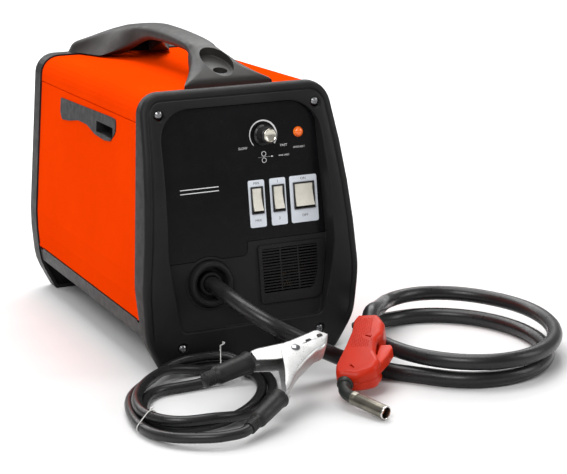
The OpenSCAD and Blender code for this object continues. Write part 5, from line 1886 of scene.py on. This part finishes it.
@dataclass
class Torch(Assembly):
    """The torch on the thick lead, drawn with X along its handle and Y to the trigger."""

    turn: Place = (4.3, 15.9, -123.4)
    half: float = 13.5
    edge: float = 6.0
    neck_side: float = -13.0
    neck_size: float = 6.5
    bend: float = 20.0
    bend_turn: float = 52.3
    bend_start: float = 117.0
    nose_start: float = 93.0
    nose_length: float = 28.0
    sunk: float = 11.8
    slots: tuple[Place, ...] = ((42, 5.4, 62), (97, -6, 35))
    outline: tuple[Corner, ...] = (
        (0, -10.5, 3), (10, -14, 8), (30, -14, 20), (60, -18, 30), (92, -23.5, 20), (108, -22, 7),
        (112, 0, 12), (104, 18, 12), (88, 22, 10), (70, 15, 12), (50, 14, 20), (38, 20, 10),
        (18, 20, 12), (5, 14, 6), (0, 10.5, 3),
    )

    def frame(self) -> Matrix:
        """The torch's own frame."""
        return Matrix.Translation(TORCH_PLACE) @ turned_to(self.turn)

    def in_bend(self, turn: float) -> Vector:
        """The neck's centreline in its bend, at an angle in radians."""
        out = self.bend * (1 - math.cos(turn))
        return Vector((self.bend_start + self.bend * math.sin(turn), self.neck_side + out, 0))

    def neck_end(self) -> Matrix:
        """The frame at the neck's end, X along the nozzle."""
        at = self.in_bend(math.radians(self.bend_turn))
        return self.frame() @ Matrix.Translation(at) @ turned_to((0, 0, self.bend_turn))

    def nose(self, x: float) -> float:
        """How much of the half thickness is left at a place near the front."""
        return math.sqrt(max(0.1, 1 - (max(0.0, x - self.nose_start) / self.nose_length) ** 2))

    def shell(self, side: int) -> Object:
        """One half of the handle, with its sunk panel, slots and trigger opening.

        Args:
            side: 1 for the upper half, -1 for the lower one.

        Returns:
            The half's object, in the torch's frame.
        """
        seam = 0.1 if side > 0 else 0.0
        steps = [(0.5, seam), (0.0, seam + 0.5), (0.0, 4.0)]
        steps += [(self.edge * side_in, self.half - self.edge * up) for side_in, up in quarter(8)]
        rings = []
        for step, height in steps:
            ring = []
            for p in rounded(inset(self.outline, step), 8, 5):
                ring.append(
                    Vector((p.x, p.y, side * height * (self.nose(p.x) if height > 1 else 1)))
                )
            rings.append(ring)
        half = object_of(lofted(rings), "torch-upper" if side > 0 else "torch-lower", 50)
        panel = [
            (-4, -30, 1), (108, -30, 1), (107, -18, 8), (102, -8, 14), (98, 1, 14), (93, 8, 9),
            (82, 10.6, 9), (56, 10.8, 18), (44, 8, 12), (-4, 9, 1),
        ]
        cutters = [slab(panel, self.sunk, 20, CRISP, 6)]
        for x, y, turn in self.slots:
            hole = slab(oblong(-4.2, -1.3, 4.2, 1.3, 1.2), 9.6, 20, CRISP, 5)
            cutters.append(hole.placed(Matrix.Translation((x, y, 0)) @ turned_to((0, 0, turn))))
        if side < 0:
            cutters = [c.placed(Matrix.Scale(-1, 4, (0, 0, 1))) for c in cutters]
        cutters.append(slab(oblong(47, 5.9, 93, 40, 1), -6.5, 6.5, CRISP, 2))
        on_neck = Matrix.Translation((0, self.neck_side, 0)) @ turned_to((0, 90, 0))
        cutters.append(rod(self.neck_size + 0.1, 90, 125, 40).placed(on_neck))
        carved(half, cutters, 45)
        softened_edges(half, 0.45, 2, 40)
        return half

    def dots(self) -> Shape:
        """Rows of small grip dots on the rear half of the sunk panel.

        Returns:
            The dots, in the torch's frame.
        """
        made, dome = Shape(), turned([(AXIS, -0.2), (0.9, -0.2), (0.68, 0.35), (AXIS, 0.55)], 8)
        columns, rows, clear = 22, 9, 6.0
        slot_x, slot_y, _ = self.slots[0]
        for i in range(columns):
            for j in range(rows):
                x, y = 7 + 2.5 * i + (1.2 if j % 2 else 0), -10.4 + 2.05 * j
                if math.hypot(x - slot_x, y - slot_y) >= clear:
                    made.add(dome.placed(Matrix.Translation((x, y, self.sunk))))
        return made

    def neck(self) -> Shape:
        """The swan neck: straight, bent and straight again, with a ring at its root.

        Returns:
            The neck, in the torch's frame.
        """
        length, steps, bend = 23, 6, math.radians(self.bend_turn)
        root = self.bend_start - length
        path = [Vector((root + length * k / steps, self.neck_side, 0)) for k in range(steps)]
        path += [self.in_bend(bend * k / 24) for k in range(25)]
        way, end = Vector((math.cos(bend), math.sin(bend), 0)), path[-1].copy()
        path += [end + way * reach for reach in (1.2, 2.4, 3.2, 3.9)]
        size, waist, tip = self.neck_size, 0.3, 0.6

        def girth(share: float) -> float:
            """The neck's radius at a share of its length."""
            place = share * (len(path) - 1)
            if place > len(path) - 1.5:
                return size - tip
            return size - waist * ease((place - 6) / 2) * (1 - ease((place - 29.5) / 1.5))

        made = piped(path, girth, 32)
        ring = turned([(6.45, 0), (8.4, 0), (8.4, 4.4), (7.9, 5.6), (7.0, 6.0), (6.45, 5.4)], 48)
        at = Matrix.Translation((108.2, self.neck_side, 0)) @ turned_to((0, 90, 0))
        return made.add(ring.placed(at))

    def build(self) -> list[Object]:
        """Makes the torch.

        Returns:
            The pieces on the lead's end.
        """
        at, end = self.frame(), self.neck_end()
        halves = []
        for side, name in ((1, "upper"), (-1, "lower")):
            node = f"torch_shell_{name}"
            half = self.piece(
                self.shell(side), f"torch-{name}", TORCH_RED, "torch_red", node, at=at
            )
            halves.append(half)
        self.piece(self.dots(), "torch-dots", TORCH_RED, "torch_red", "torch_shell_upper", at=at)
        # The stub's black is painted shade: it stands for a nub of the red shell that lies in
        # shade.
        stub = turned([(AXIS, 0), (2.6, 0), (3.6, 1.2), (3.6, 4.4), (2.4, 5.6), (AXIS, 5.9)], 28)
        stub = stub.placed(Matrix.Translation((9.5, -10.9, 4.6)) @ turned_to((90, 0, 0)))
        self.piece(stub, "torch-stub", NECK_BLACK, "neck_black", "torch_shell_upper", at=at)
        self.piece(
            self.neck(), "torch-neck", NECK_BLACK, "neck_black", "torch_neck", at=at, degrees=50
        )
        along_x = turned_to((0, 90, 0))
        cup = [
            (4.6, 4), (6.6, 4), (7.0, 4.5), (7.0, 9.2), (6.86, 9.6), (6.86, 10.2), (7.0, 10.6),
            (7.0, 47.9), (5.9, 47.9), (5.9, 8), (4.6, 8),
        ]
        cup_shape = turned(cup, 72).placed(along_x)
        self.piece(cup_shape, "gas-nozzle", NOZZLE_STEEL, "nozzle_steel", "gas_nozzle", at=end)
        # The lip ring is real shape; its bright colour is a painted highlight along the nozzle's
        # edge.
        rim = [(5.85, 47.7), (7.02, 47.7), (7.02, 48.5), (6.75, 48.95), (6.2, 49.0), (5.85, 48.7)]
        rim_highlight_shape = turned(rim, 72).placed(along_x)
        self.piece(rim_highlight_shape, "nozzle-rim-highlight", NOZZLE_RIM_HIGHLIGHT, "nozzle_steel", "gas_nozzle", at=end)
        self.dress("contact_tip", TIP_COPPER, 0.3)
        self.dress("trigger_switch", FAN_PLASTIC, 0.3)
        lever = [
            (50, 17, 2), (70, 15.2, 4), (83, 9, 3), (90, 9, 3), (90, 19, 4), (69, 28, 12),
            (57, 31, 4), (50, 29, 3),
        ]
        trigger = slab(lever, -6, 6, 1.8, 8, 5)
        self.piece(
            trigger, "torch-trigger", TORCH_RED, "torch_red", "torch_trigger", body="trigger", at=at
        )
        return halves


@dataclass
class EarthClamp(Assembly):
    """The sprung clamp at the end of the thin lead, drawn in the plane of its cheeks."""

    sheet: float = 1.4
    low_half: float = 11.0
    low_fold: float = 3.2
    up_half: float = 9.2
    up_fold: float = 3.0
    curl_radius: float = 4.6
    curl_side: float = 5.0
    curl_span: Pair = (-43.0, 1522.0)
    curl_steps: int = 180
    spring_foot: Place = (-8, -8, 0)
    spring_head: Place = (-8, 3, 0)
    sleeves: tuple[tuple[str, Pair, Pair, float, str], ...] = (
        ("lower", CLAMP.sleeve_spot, CLAMP.sleeve_way, 9.2, "machine"),
        ("upper", (-44, 1.5), (-0.962, -0.273), 10.2, "clamp_jaw"),
    )
    low_back: Table = (
        (40, 11.2), (37.4, 5), (33.3, -2.1), (28, -5.2), (22, -7), (14.5, -11.6), (6.6, -16.8),
        (-1.8, -23.4), (-10.2, -30.3), (-17.6, -38.4), (-24.7, -46.7), (-31, -52),
    )
    low_lip: Table = (
        (39.3, 11.4), (34, 9.6), (27, 7.6), (19, 5.8), (9.4, 3.4), (3.4, 7.8), (-6, 8.8),
        (-13.6, 4.2), (-17.2, -7), (-21, -22), (-25.4, -35), (-28.8, -43),
    )
    up_back: Table = (
        (40.4, 13), (37, 17.4), (32, 21.6), (22, 19.3), (12, 16.6), (3, 14.3), (-6.4, 11.9),
        (-17, 11), (-28, 10.3), (-38.6, 9.5), (-42.5, 8.4), (-46, 7),
    )
    up_lip: Table = (
        (39.6, 12.2), (35, 11.2), (27, 9.3), (18, 7), (9.2, 4.6), (6.2, -5.8), (-1, -8.6),
        (-12, -9.1), (-23.8, -9.1), (-34, -7.6), (-40, -6.6), (-44, -6),
    )

    def frame(self) -> Matrix:
        """The clamp's own frame: Z across the cheeks."""
        return Matrix.Translation(CLAMP.place) @ turned_to((CLAMP.tilt, 0, 0))

    def channel(self, back: Profile, lip: Profile, half: float, bend: float) -> Shape:
        """A pressed channel: a back with two cheeks folded down to the lip line.

        Args:
            back: points along the back.
            lip: as many points along the cheeks' free edge.
            half: half the width over the cheeks.
            bend: radius of the folds.

        Returns:
            The channel.
        """
        rings = []
        tops, lips = softened([Vector(p) for p in back], 5), softened([Vector(p) for p in lip], 5)
        for i, (top, low) in enumerate(zip(tops, lips)):
            down = low - top
            depth, way = down.length, down.normalized()
            bead = 0.55 * ease((i - 33) / 6) * (1 - ease((i - 50) / 5))
            rings.append([])
            for skin, turn in ((0.0, 1), (self.sheet, -1)):
                radius, wide = max(0.3, min(bend, depth * 0.4) - skin), half - skin
                base = min(skin, depth * 0.5)
                line = [(max(depth, base + 0.2), wide), (max(base + radius, depth * 0.7), wide)]
                line += [
                    (base + radius * (1 - math.sin(a)), wide - radius * (1 - math.cos(a)))
                    for a in (math.pi / 12 * k for k in range(7))
                ]
                line += [(base - bead, wide * 0.3), (base - bead * 0.2, wide * 0.12), (base, 0.0)]
                line += [(u, -z) for u, z in reversed(line[:-1])]
                for u, z in line[::turn]:
                    spot = top + way * u
                    rings[-1].append(Vector((spot.x, spot.y, z)))
        return lofted(rings)

    def sleeve(self, size: float) -> Shape:
        """A soft sleeve: flared mouth, slow taper and a ringed narrow end.

        Args:
            size: its radius past the mouth.

        Returns:
            The sleeve, its Z axis from the mouth to the narrow end.
        """
        end, pitch, steps = CLAMP.sleeve_length, 2.3, 6
        profile = [
            (AXIS, 6.6), (size - 2.2, 6.6), (size - 1.4, 4.6), (size - 0.2, 4.0), (size + 0.8, 4.4),
            (size + 1.15, 6.2), (size + 0.7, 7.6), (size, 10.4),
        ]
        profile += [
            (mix(size, size - 0.6, ease(k / steps)), mix(14, 43, k / steps))
            for k in range(steps + 1)
        ]
        profile += [(size - 1.2, 45), (size - 2.6, 46.6)]
        for k in range(5):
            up = pitch * k
            profile += [(size - 3.2, 47.4 + up), (size - 2.6, 48.0 + up), (size - 2.6, 49.0 + up)]
        return turned(profile + [(size - 3.3, end - 0.4), (AXIS, end - 0.2)], 56)

    def build(self) -> list[Object]:
        """Makes the clamp.

        Returns:
            The pieces on the lead's end.
        """
        at, jaw, held = self.frame(), "clamp_jaw", []
        low = self.channel(self.low_back, self.low_lip, self.low_half, self.low_fold)
        pad = [(14, 3.2, 0.3), (39, 10.2, 0.3), (39.4, 11.5, 0.3), (14, 4.7, 0.3)]
        low.add(slab(pad, -9.5, 9.5, 0.2, 2))
        self.piece(
            low, "clamp-lower", CLAMP_STEEL, "clamp_steel", "clamp_lower_arm", at=at, degrees=40
        )
        high = object_of(
            self.channel(self.up_back, self.up_lip, self.up_half, self.up_fold), "clamp-upper", 40
        )
        holes = (
            [(14.6, 5.4, 1.5), (21.4, 7.2, 1.5), (20.8, 10.9, 1.8), (14.2, 9.2, 1.8)],
            [(28.4, 9.2, 1.5), (35.4, 11.2, 1.5), (35, 15.6, 2), (28.6, 13.9, 2)],
        )
        carved(high, [slab(hole, -20, 20, CRISP, 5) for hole in holes], 40)
        self.piece(
            high, "clamp-upper", CLAMP_STEEL, "clamp_steel", "clamp_upper_arm", body=jaw, at=at
        )
        for name, spot, way, size, body in self.sleeves:
            heading = math.degrees(math.atan2(way[1], way[0]))
            own = at @ (Matrix.Translation((*spot, 0)) @ turned_to((0, 90, heading)))
            tongue = slab(oblong(-1, -7.4, 1, 7.4, 0.5), -3, 40, 0.3, 2)
            arm, cover = f"clamp_{name}_arm", f"clamp_{name}_sleeve"
            self.piece(
                tongue, f"clamp-tongue-{name}", CLAMP_STEEL, "clamp_steel", arm, body=body, at=own
            )
            sleeve, label = self.sleeve(size), f"clamp-sleeve-{name}"
            made = self.piece(
                sleeve, label, SLEEVE_RUBBER, "sleeve_rubber", cover, body=body, at=own
            )
            if body == self.body:
                held.append(made)
        rivet = [
            (AXIS, -12.4), (2.6, -12.3), (4.2, -11.8), (4.6, -11.1), (3.0, -11.0), (3.0, 11.0),
            (4.6, 11.1), (4.2, 11.8), (2.6, 12.3), (AXIS, 12.4),
        ]
        self.piece(
            turned(rivet, 40), "clamp-rivet", SCREW_STEEL, "clamp_steel", "clamp_pivot", at=at
        )
        spring = object_of(self.spring(), "clamp-spring", 60)
        spring.matrix_world = in_metres(at)
        spring.data.materials.append(SPRING_STEEL.material())
        foot, head = (
            in_metres(at @ Matrix.Translation(spot)).translation
            for spot in (self.spring_foot, self.spring_head)
        )
        tuple(foot)
        tuple(head)
        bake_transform(spring)
        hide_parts("clamp_spring")
        return held

    def spring(self) -> Shape:
        """The sprung wire: four curls round the rivet and its two legs.

        Returns:
            The spring, in the clamp's frame.
        """
        curls, radius, side, leg = [], self.curl_radius, self.curl_side, 6
        for i in range(self.curl_steps + 1):
            share = i / self.curl_steps
            angle = math.radians(mix(*self.curl_span, share))
            x, y = radius * math.cos(angle), radius * math.sin(angle)
            curls.append(Vector((x, y, mix(-side, side, share))))
        low, high = Vector((-19, -27, -5.2)), Vector((-20, 7.5, 5.2))
        path = [low.lerp(curls[0], k / leg) for k in range(leg)] + curls
        path += [curls[-1].lerp(high, k / leg) for k in range(1, leg + 1)]
        return piped(path, 0.8, 10)


@dataclass
class Inside(Assembly):
    """Power parts and wire feeder behind the casing."""

    def build(self) -> None:
        """Dresses the parts inside the casing."""
        for name, finish, edge in (
            ("divider_plate", ZINC_SHEET, 0.2), ("transformer_core", CORE_STEEL, 0.5),
            ("choke", CORE_STEEL, 0.5), ("rectifier", ALLOY, 0.3),
            ("control_board", BOARD_GREEN, 0.3), ("gas_valve", BRASS, 0.4),
            ("fan_motor", MOTOR_GREY, 0.5), ("fan_blades", FAN_PLASTIC, 0.3),
            ("feed_motor", MOTOR_GREY, 0.6), ("feed_block", ALLOY, 0.4),
            ("drive_roll", ROLL_STEEL, 0.2), ("pressure_arm", ARM_BLACK, 0.5),
            ("pressure_roll", ROLL_STEEL, 0.2), ("tension_knob", TENSION_RED, 0.4),
            ("spool_spindle", FAN_PLASTIC, 0.5), ("wire_spool", SPOOL_PLASTIC, 0.5),
        ):
            self.dress(name, finish, edge)
        self.windings()
        self.wire()

    def windings(self) -> None:
        """The two transformer windings and the choke's, each with its turns showing."""
        middle, wide = Matrix.Translation((51.5, 15, 0)), 37.6
        for name, low, deep, turns, finish, slot in (
            ("primary", 63.92, 42, 15, COPPER_WINDING, "winding_copper"),
            ("secondary", 93.92, 40, 7, AMBER_WINDING, "winding_amber"),
        ):
            ring = rounded(oblong(-wide, -deep, wide, deep, 6), 8, 6)
            shape = swept(ring, wound(low + 0.15, low + 29.85, turns, 14.5)).placed(middle)
            self.piece(shape, f"{name}-winding", finish, slot, f"{name}_winding", degrees=70)
        ring = rounded(oblong(-16.3, -27.3, 16.3, 27.3, 5), 8, 6)
        shape = swept(ring, wound(53, 91, 10, 3.5)).placed(Matrix.Translation((80.5, -107, 0)))
        self.piece(shape, "choke-winding", AMBER_WINDING, "winding_amber", degrees=70)

    def wire(self) -> None:
        """The welding wire on its spool, turn beside turn, with its last layer part used."""
        core, half, turns, full_turns, bulge, steps = 45, 24.5, 30, 21, 0.7, 4
        profile = [(core, -half), (80.6, -half)]
        for i in range(turns):
            layer = 82.3 if i < full_turns else 80.9
            for k in range(steps + 1):
                angle = math.pi * k / steps
                up = -24.4 + 48.8 * (i + 0.5 - 0.49 * math.cos(angle)) / turns
                profile.append((layer - bulge + bulge * math.sin(angle), up))
        profile += [(80.4, half), (core, half)]
        wire = turned(profile, 96).placed(
            Matrix.Translation((-53.5, 85, 158)) @ turned_to((0, 90, 0))
        )
        self.piece(
            wire, "welding-wire", WIRE_COPPER, "wire_copper", "welding_wire", body="spool",
            degrees=70,
        )


def main() -> None:
    """Builds the scene in order."""
    logging.basicConfig(level=logging.INFO, format="%(name)s: %(message)s")
    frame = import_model()
    nodes = frame["nodes"]
    Studio().build()
    torch_pieces = Torch(nodes).build()
    clamp_pieces = EarthClamp(nodes).build()
    Leads(nodes).build(torch_pieces, clamp_pieces)
    FrontFrame(nodes).build()
    ControlPanel(nodes).build()
    Casing(nodes).build()
    CarryHandle(nodes).build()
    Inside(nodes).build()


if __name__ == "__main__":
    main()
